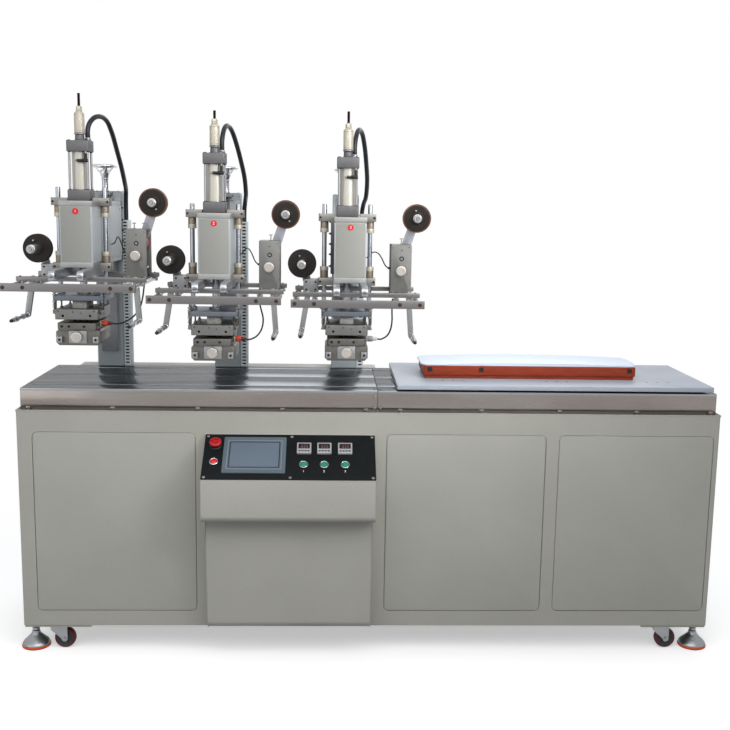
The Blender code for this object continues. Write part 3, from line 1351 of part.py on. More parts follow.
def drop_arm(start, end):
    """Hanging arm with a foil guide pin that reaches to the front."""
    back = CROSS_REACH - SINK
    front = back - DROP_ARM_THICK
    direction = Vector((end[0] - start[0], end[1] - start[1])).normalized()
    across = Vector((-direction.y, direction.x)) * DROP_ARM_WIDTH / 2
    angle = math.atan2(direction.y, direction.x)
    foot = arc(end, DROP_ARM_WIDTH / 2, angle - FULL_TURN / 4, angle + FULL_TURN / 4,
               TIP_STEPS)
    outline = [(start[0] + across.x, start[1] + across.y), *reversed(foot),
               (start[0] - across.x, start[1] - across.y)]
    plate = extruded(outline, front, back + CROSS_DEPTH / 2, "Y")
    x, z = end
    roller = rod((x, back, z), (x, front - GUIDE_PIN_LENGTH, z), GUIDE_ROLLER, SMALL_SIDES)
    return plate, roller


def supply_carrier():
    """Bearing block, upright plate and spindle of the supply reel."""
    x, z = SUPPLY_PLACE
    low, high = SUPPLY_BLOCK
    pier = block(low, high)
    back = REEL_PLATE_BACK
    front = back - REEL_PLATE_THICK
    half = REEL_PLATE_HALF
    foot = (low[0] + half, high[2] - half)
    plate = link_plate(foot, (x, z), half, front, back)
    spindle = rod((x, back - SINK, z), (x, SPINDLE_FRONT, z), SPINDLE_RADIUS, SMALL_SIDES)
    return pier, plate, spindle


def link_plate(start, end, half, front, back):
    """Flat link with round ends between two points, standing across Y."""
    direction = math.atan2(end[1] - start[1], end[0] - start[0])
    quarter = FULL_TURN / 4
    outline = arc(end, half, direction - quarter, direction + quarter, TIP_STEPS)
    outline += arc(start, half, direction + quarter, direction + 3 * quarter, TIP_STEPS)
    return extruded(outline, front, back, "Y")


def feed_unit():
    """Box with the foil feed rollers, and the arm that carries the rewind reel."""
    rail_top = BAR_BOTTOM + BAR_HEIGHT / 2 + RAIL_RADIUS - SINK
    box = block((FEED_LEFT, FEED_FRONT, rail_top), (FEED_RIGHT, FEED_BACK, FEED_TOP))
    knob_x, knob_z = FEED_KNOB_PLACE
    cut(box, bore((knob_x, FEED_FRONT - OVERRUN, knob_z),
                  (knob_x, FEED_FRONT + KNOB_SHAFT_LENGTH, knob_z), KNOB_SHAFT + RUN,
                  SMALL_SIDES))
    x, z = REWIND_PLACE
    back = REEL_PLATE_BACK
    plate = link_plate(REWIND_FOOT, REWIND_PLACE, REEL_PLATE_HALF, back - REEL_PLATE_THICK,
                       back)
    spindle = rod((x, back - SINK, z), (x, SPINDLE_FRONT, z), SPINDLE_RADIUS, SMALL_SIDES)
    return box, plate, spindle


def reel():
    """Foil reel about the Y axis, with a bright hub and a driving pin in front."""
    half = REEL_WIDTH / 2
    eye = SPINDLE_RADIUS + RUN
    hub = half + REEL_HUB_LENGTH
    profile = [(eye, hub), (REEL_HUB, hub), (REEL_HUB, half),
               (REEL_RADIUS - REEL_FLANGE, half), (REEL_RADIUS, half - REEL_FLANGE),
               (REEL_RADIUS, -half), (eye, -half)]
    wheel = moved(turned(profile, FINE_SIDES, closed=True), (0, 0, 0),
                  Matrix.Rotation(FULL_TURN / 4, 4, "X"))
    joined(wheel, rod((-REEL_PIN_PLACE / 2, -half + SINK, REEL_PIN_PLACE),
                      (-REEL_PIN_PLACE / 2, -half - REEL_PIN_LENGTH, REEL_PIN_PLACE),
                      REEL_PIN, NUT_SIDES))
    return wheel


def make_reel(name, head, place, finish):
    x, z = place
    return publish(name, reel(), finish, head, (x, REEL_REACH, z))


def make_feed_knob(name, head):
    outer = FEED_KNOB_STANDOFF + FEED_KNOB_THICK
    knob = knob_shape(FEED_KNOB_RADIUS, FEED_KNOB_STANDOFF, outer)
    x, z = FEED_KNOB_PLACE
    return publish(name, knob, "chrome", head, (x, FEED_FRONT, z))


# Air hose

def route_point(route, share):
    """Point on a smooth curve through the route, after Catmull and Rom."""
    place = share * (len(route) - 1)
    i = min(int(place), len(route) - 2)
    t = place - i
    start, end = route[i], route[i + 1]
    before = route[i - 1] if i > 0 else 2 * start - end
    after = route[i + 2] if i + 2 < len(route) else 2 * end - start
    return 0.5 * (2 * start + (end - before) * t
                  + (2 * before - 5 * start + 4 * end - after) * t * t
                  + (3 * start - before - 3 * end + after) * t ** 3)


def smooth_route(points, spacing):
    """Evenly spaced points on the smooth curve through the route."""
    route = [Vector(point) for point in points]
    fine = [route_point(route, i / ROUTE_SAMPLES) for i in range(ROUTE_SAMPLES + 1)]
    lengths = [0.0]
    for start, end in zip(fine, fine[1:]):
        lengths.append(lengths[-1] + (end - start).length)
    count = math.ceil(lengths[-1] / spacing)
    even = []
    for i in range(count + 1):
        target = lengths[-1] * i / count
        near = min(range(len(fine)), key=lambda k: abs(lengths[k] - target))
        even.append(fine[near])
    return even


def make_hose(name, head):
    curve = bpy.data.curves.new("hose", "CURVE")
    curve.dimensions = "3D"
    curve.bevel_depth = HOSE_RADIUS
    curve.bevel_resolution = HOSE_RESOLUTION
    curve.use_fill_caps = True
    gland_x, gland_y = GLAND_PLACE
    gland_top = HOUSING_TOP + SEAT + CYLINDER_HEIGHT + GLAND_HEIGHT
    start = (gland_x, RAM_REACH + gland_y, gland_top + SEAT)
    rise = (gland_x, RAM_REACH + gland_y, gland_top + HOSE_RISE)
    points = smooth_route((start, rise, *HOSE_POINTS), HOSE_SPACING_SHARE * HOSE_RADIUS)
    points.insert(1, Vector(rise))
    spline = curve.splines.new("POLY")
    spline.points.add(len(points) - 1)
    for point, place in zip(spline.points, points):
        point.co = (*place, 1.0)
    tube = bpy.data.objects.new("hose", curve)
    WORKSHOP.objects.link(tube)
    return publish(name, settle(tube), "hose_black", head)


# Assembly

def clear_scene():
    for old in list(bpy.data.objects):
        bpy.data.objects.remove(old)


def new_collection(name):
    made = bpy.data.collections.new(name)
    bpy.context.scene.collection.children.link(made)
    return made


def make_base():
    make_cabinet()
    make_panel("left_panel", LEFT_PANEL_SPAN)
    make_panel("middle_panel", MIDDLE_PANEL_SPAN)
    make_panel("right_panel", RIGHT_PANEL_SPAN)
    make_bed()
    make_console()
    frame = desk_frame()
    make_control_panel(frame)
    make_buttons(frame)
    make_undercarriage()


def make_work_table():
    runway = marker("table_runway", (TABLE_LEFT, BED_FRONT - TABLE_OVERHANG,
                                     BED_TOP + TABLE_GAP))
    publish("shuttle_table", make_table(), "table_white", runway)
    board, blank = make_fixture()
    place = (BOARD_LEFT - TABLE_LEFT, BOARD_FRONT + TABLE_OVERHANG, TABLE_THICK + SEAT)
    publish("fixture_board", board, "fixture_board", runway, place)
    publish("work_blank", blank, "work_blank", runway, place)


def make_station(number, x, lift, setting):
    station = marker("station_%d" % number, (x, BED_FRONT, BED_TOP))
    head = marker("head_%d_slide" % number, (0.0, 0.0, lift), station)
    tail = "_%d" % number
    make_column("column" + tail, station)
    make_handwheel("handwheel" + tail, station)
    make_housing("head_housing" + tail, head)
    make_cylinder("air_cylinder" + tail, head)
    ram = make_ram("ram" + tail, head, setting)
    make_die_head("die_head" + tail, ram)
    make_die_knob("die_knob" + tail, ram)
    make_foil_frame("foil_frame" + tail, head)
    make_reel("supply_reel" + tail, head, SUPPLY_PLACE, "reel_black")
    make_reel("rewind_reel" + tail, head, REWIND_PLACE, "reel_brown")
    make_feed_knob("feed_knob" + tail, head)
    make_hose("air_hose" + tail, head)


clear_scene()
MACHINE = new_collection("hot_stamping_machine")
WORKSHOP = new_collection("workshop")
FINISHES = make_materials()
make_base()
make_work_table()
for index, x_place in enumerate(STATIONS):
    make_station(index + 1, x_place, HEAD_LIFTS[index], DIE_SETTINGS[index])
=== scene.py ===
"""Looks of the three-head hot stamping machine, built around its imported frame.

Lengths are metres. A station's places are (x, v, h): x from the head's middle, v back from the
bed's front edge and h above the bed's top.
"""
import math

import bpy
import numpy as np
from mathutils import Matrix, Vector


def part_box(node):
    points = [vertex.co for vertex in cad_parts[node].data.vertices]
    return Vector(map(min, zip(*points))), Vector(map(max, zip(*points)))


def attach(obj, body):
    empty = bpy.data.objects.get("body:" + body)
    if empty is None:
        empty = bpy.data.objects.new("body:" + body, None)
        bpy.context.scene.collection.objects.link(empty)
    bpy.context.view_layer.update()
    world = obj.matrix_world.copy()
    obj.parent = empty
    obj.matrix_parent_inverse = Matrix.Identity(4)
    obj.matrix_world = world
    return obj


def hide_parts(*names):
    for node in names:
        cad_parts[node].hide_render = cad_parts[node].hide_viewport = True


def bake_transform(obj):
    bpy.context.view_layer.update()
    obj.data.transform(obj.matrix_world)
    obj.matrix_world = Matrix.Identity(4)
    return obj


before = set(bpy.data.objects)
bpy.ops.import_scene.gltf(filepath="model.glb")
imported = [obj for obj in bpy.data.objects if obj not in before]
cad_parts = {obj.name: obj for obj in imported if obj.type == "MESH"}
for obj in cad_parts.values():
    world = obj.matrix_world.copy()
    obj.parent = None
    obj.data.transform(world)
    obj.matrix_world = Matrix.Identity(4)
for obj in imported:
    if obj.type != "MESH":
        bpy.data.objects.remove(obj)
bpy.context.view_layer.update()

BED_LOW, BED_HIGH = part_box("bed")
BED_FRONT = BED_LOW.y
BED_TOP = BED_HIGH.z
BASE = (0.0, BED_FRONT, BED_TOP)
STATIONS = (-0.993, -0.543, -0.093)
LIFTS = (0.033, 0.0, -0.007)
SETTINGS = (0.015, 0.0, 0.012)

TURN = 2 * math.pi
HERE = (0.0, 0.0, 0.0)
UP = (0.0, 0.0, 1.0)
DOWN = (0.0, 0.0, -1.0)
FRONT = (0.0, -1.0, 0.0)
BACK = (0.0, 1.0, 0.0)
RIGHT = (1.0, 0.0, 0.0)
LEFT = (-1.0, 0.0, 0.0)


# Surfaces: a shape is (points, faces)

def skin(rings, closed=False):
    """Stacked rings joined by quads, capped at both ends unless the last ring meets the first.

    Rings run anticlockwise about the stacking direction.
    """
    rings = np.asarray(rings, float)
    rows, cols = rings.shape[:2]
    i = np.arange(rows if closed else rows - 1)[:, None]
    j = np.arange(cols)[None, :]
    k = (j + 1) % cols
    up = (i + 1) % rows
    quads = np.stack(np.broadcast_arrays(i * cols + j, i * cols + k, up * cols + k,
                                         up * cols + j), -1)
    faces = quads.reshape(-1, 4).tolist()
    if not closed:
        faces.append(list(range(cols))[::-1])
        faces.append(list(range((rows - 1) * cols, rows * cols)))
    return rings.reshape(-1, 3), faces


def arc_points(middle, radius, start, end, steps):
    """Points on a circle from one angle to another: middle + radius (cos a, sin a)."""
    angle = np.linspace(start, end, steps + 1)
    return np.stack([middle[0] + radius * np.cos(angle),
                     middle[1] + radius * np.sin(angle)], -1)


def round_rect(low, high, radius, steps=3):
    """Rectangle between two corners with a quarter circle at each, anticlockwise."""
    radius = min(radius, 0.499 * min(high[0] - low[0], high[1] - low[1]))
    corners = ((high[0] - radius, high[1] - radius), (low[0] + radius, high[1] - radius),
               (low[0] + radius, low[1] + radius), (high[0] - radius, low[1] + radius))
    return np.concatenate([arc_points(c, radius, TURN * q / 4, TURN * (q + 1) / 4, steps)
                           for q, c in enumerate(corners)])


def link_outline(start, end, start_radius, end_radius, steps):
    """Stadium outline round two points, with a half circle about each."""
    way = math.atan2(end[1] - start[1], end[0] - start[0])
    quarter = TURN / 4
    return np.concatenate([
        arc_points(end, end_radius, way - quarter, way + quarter, steps),
        arc_points(start, start_radius, way + quarter, way + 3 * quarter, steps)])


def drawn_in(outline, distance):
    """Every point moved inwards along the mitre of its two edges."""
    before = outline - np.roll(outline, 1, 0)
    after = np.roll(outline, -1, 0) - outline
    before = before / np.maximum(np.linalg.norm(before, axis=1, keepdims=True), 1e-9)
    after = after / np.maximum(np.linalg.norm(after, axis=1, keepdims=True), 1e-9)
    n1 = np.stack([-before[:, 1], before[:, 0]], -1)
    n2 = np.stack([-after[:, 1], after[:, 0]], -1)
    mitre = (n1 + n2) / np.maximum(1 + (n1 * n2).sum(1, keepdims=True), 0.3)
    return outline + distance * mitre


def slab(outline, low, high, edge=0.0008, steps=2):
    """Outline drawn up from one height to another, both rims rounded by a quarter circle."""
    outline = np.asarray(outline, float)
    edge = min(edge, 0.49 * (high - low))
    lean = np.linspace(0, TURN / 4, steps + 1)
    insets = np.concatenate([edge * (1 - np.sin(lean)), edge * (1 - np.sin(lean[::-1]))])
    heights = np.concatenate([low + edge * (1 - np.cos(lean)),
                              high - edge * (1 - np.cos(lean[::-1]))])
    rings = [np.column_stack([drawn_in(outline, inset), np.full(len(outline), height)])
             for inset, height in zip(insets, heights)]
    return skin(rings)


def moved(shape, place, turn=None):
    """A shape turned by a 3 by 3 matrix and then moved."""
    points, faces = shape
    if turn is not None:
        points = points @ np.asarray(turn, float).T
    return points + np.asarray(place, float), faces


def facing(towards, spin=0.0):
    """Matrix that takes Z to a direction and keeps X as level as it can."""
    z = np.asarray(towards, float)
    z = z / np.linalg.norm(z)
    side = np.cross((0, 0, 1), z) if abs(z[2]) < 0.999 else np.array((1.0, 0, 0))
    x = side / np.linalg.norm(side)
    y = np.cross(z, x)
    turn = np.stack([x, y, z], -1)
    c, s = math.cos(spin), math.sin(spin)
    return turn @ np.array(((c, -s, 0), (s, c, 0), (0, 0, 1)))


def aimed(shape, place, towards, spin=0.0):
    """A shape with its Z axis turned to a direction, at a place."""
    return moved(shape, place, facing(towards, spin))


def copies(shape, places, towards=UP):
    """The same shape at several places, with its Z axis turned to a direction."""
    return [aimed(shape, place, towards) for place in places]


def box(low, high, edge=0.001, steps=2):
    """Box between two corners with all edges rounded: a rounded rectangle drawn up."""
    return slab(round_rect(low[:2], high[:2], edge * 1.01, steps), low[2], high[2], edge, steps)


def along_x(outline, low, high, edge=0.0008, steps=2):
    """Side outline of (v, h) points drawn out along X."""
    return moved(slab(outline, low, high, edge, steps), HERE,
                 ((0, 0, 1), (1, 0, 0), (0, 1, 0)))


def along_y(outline, front, back, edge=0.0008, steps=2):
    """Front outline of (x, h) points drawn out from a front depth to a back depth."""
    return moved(slab(outline, -back, -front, edge, steps), HERE,
                 ((1, 0, 0), (0, 0, -1), (0, 1, 0)))


def eased(profile, reach, steps=3):
    """Polyline whose inner corners are replaced by parabolas that start at most reach away."""
    points = np.asarray(profile, float)
    a, b, c = points[:-2], points[1:-1], points[2:]
    first = np.linalg.norm(b - a, axis=1)
    second = np.linalg.norm(c - b, axis=1)
    t = np.minimum(reach, 0.45 * np.minimum(first, second))[:, None]
    start = b - t * (b - a) / first[:, None]
    end = b + t * (c - b) / second[:, None]
    s = np.linspace(0, 1, steps + 1)[None, :, None]
    bend = (1 - s) ** 2 * start[:, None] + 2 * s * (1 - s) * b[:, None] + s ** 2 * end[:, None]
    return np.concatenate([points[:1], bend.reshape(-1, 2), points[-1:]])


def turned(profile, sides=32, reach=0.0008, closed=False):
    """Profile of (radius, height), up the outside, turned about Z; corners eased by reach."""
    profile = np.asarray(profile, float)
    if closed:
        loop = np.concatenate([profile[-1:], profile, profile[:1]])
        profile = eased(loop, reach)[1:-1] if reach else profile
    elif reach:
        profile = eased(profile, reach)
    angle = np.arange(sides) * TURN / sides
    ring = np.stack([np.cos(angle), np.sin(angle)], -1)
    rings = np.concatenate([profile[:, None, :1] * ring[None],
                            np.broadcast_to(profile[:, None, 1:], (len(profile), sides, 1))], -1)
    return skin(rings, closed)


def drum(start, end, radius, sides=24, reach=0.0006):
    """Round bar between two points with eased rims."""
    start, end = np.asarray(start, float), np.asarray(end, float)
    length = np.linalg.norm(end - start)
    rim = min(reach, 0.3 * radius, 0.3 * length)
    profile = [(radius - rim, 0), (radius, rim), (radius, length - rim), (radius - rim, length)]
    return aimed(turned(profile, sides, 0), start, end - start)


def drum_y(x, h, front, back, radius, sides=24, reach=0.0006):
    """Round bar along Y."""
    return drum((x, front, h), (x, back, h), radius, sides, reach)


def lathe_y(profile, sides, reach):
    """Closed profile of (radius, place along Y) turned about the Y axis."""
    return aimed(turned(profile, sides, reach, closed=True), HERE, BACK)


def hexagon(radius, count):
    """Radius of a hexagon of that corner radius at evenly spaced angles."""
    angle = np.arange(count) * TURN / count
    return radius * math.cos(TURN / 12) / np.cos(np.mod(angle, TURN / 6) - TURN / 12)


def cap_screw(radius, height, sides=24):
    """Round screw head with a six-sided socket sunk into its top."""
    rim = 0.12 * radius
    angle = np.arange(sides) * TURN / sides
    ring = np.stack([np.cos(angle), np.sin(angle)], -1)
    round_one = np.ones(sides)
    socket = hexagon(0.55 * radius, sides)
    rows = ((radius * round_one, 0), (radius * round_one, height - rim),
            ((radius - rim) * round_one, height), (socket, height), (socket, 0.45 * height))
    rings = [np.column_stack([ring * size[:, None], np.full(sides, level)])
             for size, level in rows]
    return skin(rings)


def hex_nut(radius, height):
    """Six-sided nut with a washer face and leaning corners."""
    corners = arc_points((0, 0), radius, 0, TURN * 5 / 6, 5)
    return slab(corners, 0.0, height, 0.12 * radius, 2)


def smooth_line(points, spacing):
    """Evenly spaced points on the Catmull-Rom curve through a route."""
    route = np.asarray(points, float)
    route = np.concatenate([2 * route[:1] - route[1:2], route, 2 * route[-1:] - route[-2:-1]])
    t = np.linspace(0, 1, 24, endpoint=False)[None, :, None]
    a, b, c, d = (route[i:len(route) - 3 + i, None] for i in range(4))
    fine = 0.5 * (2 * b + (c - a) * t + (2 * a - 5 * b + 4 * c - d) * t ** 2
                  + (3 * b - a - 3 * c + d) * t ** 3)
    fine = np.concatenate([fine.reshape(-1, 3), route[-2:-1]])
    steps = np.linalg.norm(np.diff(fine, axis=0), axis=1)
    run = np.concatenate([[0], np.cumsum(steps)])
    even = np.linspace(0, run[-1], max(3, int(round(run[-1] / spacing)) + 1))
    return np.stack([np.interp(even, run, fine[:, k]) for k in range(3)], -1)


def tube(path, radius, sides=12):
    """Round tube along a line: each ring stands square to the line, turned as little as can be."""
    path = np.asarray(path, float)
    way = np.gradient(path, axis=0)
    way /= np.linalg.norm(way, axis=1, keepdims=True)
    side = np.cross(way[0], (0.31, 0.17, 0.93))
    sides_now = []
    for step in way:
        side = side - step * (side @ step)
        side = side / np.linalg.norm(side)
        sides_now.append(side)
    side = np.array(sides_now)
    across = np.cross(way, side)
    angle = (np.arange(sides) * TURN / sides)[None, :, None]
    spread = np.cos(angle) * side[:, None] + np.sin(angle) * across[:, None]
    rings = path[:, None] + radius * spread
    return skin(rings)


def coil(start, end, radius, wire, turns, sides=6):
    """Helical spring between two points."""
    count = int(turns * 14)
    share = np.linspace(0, 1, count)
    angle = share * turns * TURN
    length = np.linalg.norm(np.subtract(end, start))
    line = np.stack([radius * np.cos(angle), radius * np.sin(angle), share * length], -1)
    points = line @ facing(np.subtract(end, start)).T + np.asarray(start)
    return tube(points, wire, sides)


def thread(start, end, radius, pitch=0.0015, sides=12):
    """Threaded stud: the radius rises and falls once in each pitch."""
    length = float(np.linalg.norm(np.subtract(end, start)))
    count = max(4, int(length / pitch) * 2)
    height = np.linspace(0, length, count + 1)
    size = np.where(np.arange(count + 1) % 2 == 0, radius, 0.86 * radius)
    return aimed(turned(np.stack([size, height], -1), sides, 0), start, np.subtract(end, start))


def figure(text, size, depth):
    """A numeral as a thin solid in the XY plane, about its middle."""
    curve = bpy.data.curves.new("figure", "FONT")
    curve.body = text
    curve.size = size
    curve.extrude = depth / 2
    curve.align_x = "CENTER"
    curve.align_y = "CENTER"
    holder = bpy.data.objects.new("figure", curve)
    bpy.context.scene.collection.objects.link(holder)
    bpy.context.view_layer.update()
    mesh = bpy.data.meshes.new_from_object(holder.evaluated_get(
        bpy.context.evaluated_depsgraph_get()))
    points = np.zeros(len(mesh.vertices) * 3)
    mesh.vertices.foreach_get("co", points)
    faces = [list(p.vertices) for p in mesh.polygons]
    bpy.data.objects.remove(holder)
    bpy.data.curves.remove(curve)
    bpy.data.meshes.remove(mesh)
    return points.reshape(-1, 3), faces


# Finishes

def seen(red, green, blue):
    """Linear colour of a colour as the eye reads it, 0 to 255."""
    c = np.array((red, green, blue)) / 255
    return (*np.where(c <= 0.04045, c / 12.92, ((c + 0.055) / 1.055) ** 2.4), 1.0)


def new_node(tree, kind, values=None, **settings):
    """A new node of a kind, with its settings and its sockets' values."""
    made = tree.nodes.new("ShaderNode" + kind)
    for key, value in settings.items():
        setattr(made, key, value)
    for key, value in (values or {}).items():
        made.inputs[key].default_value = value
    return made


class Finish:
    """A Principled material whose pattern nodes read Object coordinates."""

    def __init__(self, name, colour, roughness, metallic=0.0, **sockets):
        self.made = bpy.data.materials.new(name)
        self.made.use_nodes = True
        self.tree = self.made.node_tree
        self.shader = self.tree.nodes["Principled BSDF"]
        self.colour = seen(*colour)
        self.shader.inputs["Base Color"].default_value = self.colour
        self.shader.inputs["Roughness"].default_value = roughness
        self.shader.inputs["Metallic"].default_value = metallic
        self.made.diffuse_color = self.colour
        for key, value in sockets.items():
            self.shader.inputs[key.replace("_", " ")].default_value = value
        self.place = self.tree.nodes.new("ShaderNodeTexCoord").outputs["Object"]
        self.normal = None

    def node(self, kind, values=None, **settings):
        """A new node of this finish."""
        return new_node(self.tree, kind, values, **settings)

    def link(self, source, target):
        """A wire from one socket to another."""
        self.tree.links.new(source, target)

    def noise(self, scale, stretch=(1, 1, 1), detail=3.0, rough=0.55):
        """Noise of that many patches a metre, drawn out along each axis by stretch."""
        mapping = self.node("Mapping", {"Scale": tuple(scale / s for s in stretch)})
        made = self.node("TexNoise", {"Scale": 1.0, "Detail": detail, "Roughness": rough})
        self.link(self.place, mapping.inputs["Vector"])
        self.link(mapping.outputs["Vector"], made.inputs["Vector"])
        return made.outputs["Fac"]

    def between(self, source, low, high):
        """The middle of a noise's range, 0.3 to 0.7, stretched from one value to another."""
        made = self.node("MapRange", {"From Min": 0.3, "From Max": 0.7, "To Min": low,
                                      "To Max": high})
        self.link(source, made.inputs["Value"])
        return made.outputs["Result"]

    def tint(self, source, colour, amount):
        """Blend another colour in where the source is high."""
        mix = self.node("Mix", data_type="RGBA")
        old = self.shader.inputs["Base Color"]
        if old.is_linked:
            self.link(old.links[0].from_socket, mix.inputs["A"])
        else:
            mix.inputs["A"].default_value = self.colour
        mix.inputs["B"].default_value = seen(*colour)
        self.link(self.between(source, 0.0, amount), mix.inputs["Factor"])
        self.link(mix.outputs["Result"], old)

    def uneven(self, source, low, high):
        """Roughness that follows the source between two values."""
        self.link(self.between(source, low, high), self.shader.inputs["Roughness"])

    def bump(self, source, depth, strength=1.0):
        """Relief of that depth in metres, on top of any earlier one."""
        made = self.node("Bump", {"Strength": strength, "Distance": depth})
        self.link(source, made.inputs["Height"])
        if self.normal is not None:
            self.link(self.normal, made.inputs["Normal"])
        self.normal = made.outputs["Normal"]
        self.link(self.normal, self.shader.inputs["Normal"])


def painted(name, colour, roughness=0.42, dirt=(120, 116, 104), dirt_share=0.16):
    """Sprayed enamel: fine orange peel, faint cloudiness and a little handling dirt."""
    made = Finish(name, colour, roughness, Specular_IOR_Level=0.35)
    made.tint(made.noise(3.0, detail=4), dirt, dirt_share)
    made.tint(made.noise(110, detail=2), tuple(min(255, c + 10) for c in colour), 0.16)
    made.uneven(made.noise(7.0, detail=5), roughness - 0.07, roughness + 0.1)
    made.bump(made.noise(420, detail=1), 0.00012, 0.2)
    return made


def brushed(name, colour, grain, roughness=0.3, metallic=1.0, dark=(96, 92, 88), share=0.35,
            edge=1.0, relief=0.2, cloud=0.22):
    """Ground metal: fine scratches drawn out along the grain, with duller patches."""
    made = Finish(name, colour, roughness, metallic, Specular_Tint=(edge, edge, edge, 1))
    line = made.noise(900, grain, detail=4, rough=0.7)
    made.tint(line, dark, share)
    made.tint(made.noise(5.0, (2, 1, 1), detail=3), dark, cloud)
    made.uneven(made.noise(500, grain, detail=3), roughness - 0.06, roughness + 0.09)
    made.bump(line, 0.00008, relief)
    return made


def cast_metal(name, colour, roughness=0.42, metallic=0.9, grit=700, edge=0.8):
    """Bead-blasted or milled aluminium: fine grit, cloudy sheen."""
    made = Finish(name, colour, roughness, metallic, Specular_Tint=(edge, edge, edge, 1))
    made.tint(made.noise(grit, detail=2), tuple(max(0, c - 30) for c in colour), 0.22)
    made.tint(made.noise(14, detail=4), tuple(max(0, c - 24) for c in colour), 0.4)
    made.uneven(made.noise(60, detail=4), roughness - 0.08, roughness + 0.12)
    made.bump(made.noise(grit * 1.3, detail=1), 0.0001, 0.2)
    return made


def plastic(name, colour, roughness=0.4, grit=1100, relief=0.00012, **sockets):
    """Moulded plastic or rubber with a fine skin."""
    sockets.setdefault("Specular_IOR_Level", 0.3)
    made = Finish(name, colour, roughness, **sockets)
    made.tint(made.noise(30, detail=3), tuple(min(255, c + 12) for c in colour), 0.3)
    made.uneven(made.noise(45, detail=4), roughness - 0.06, roughness + 0.12)
    made.bump(made.noise(grit, detail=1), relief, 0.3)
    return made


def red_laminate(name):
    """Pressed resin board: thin layers along its height, with pale fibres and worn spots."""
    made = Finish(name, (138, 50, 27), 0.5, Specular_IOR_Level=0.25)
    made.tint(made.noise(520, (40, 40, 1), detail=3), (100, 32, 18), 0.5)
    made.tint(made.noise(90, (5, 5, 1), detail=5), (166, 72, 42), 0.35)
    made.uneven(made.noise(60, (4, 4, 1), detail=4), 0.38, 0.62)
    made.bump(made.noise(520, (40, 40, 1), detail=3), 0.0003, 0.5)
    return made


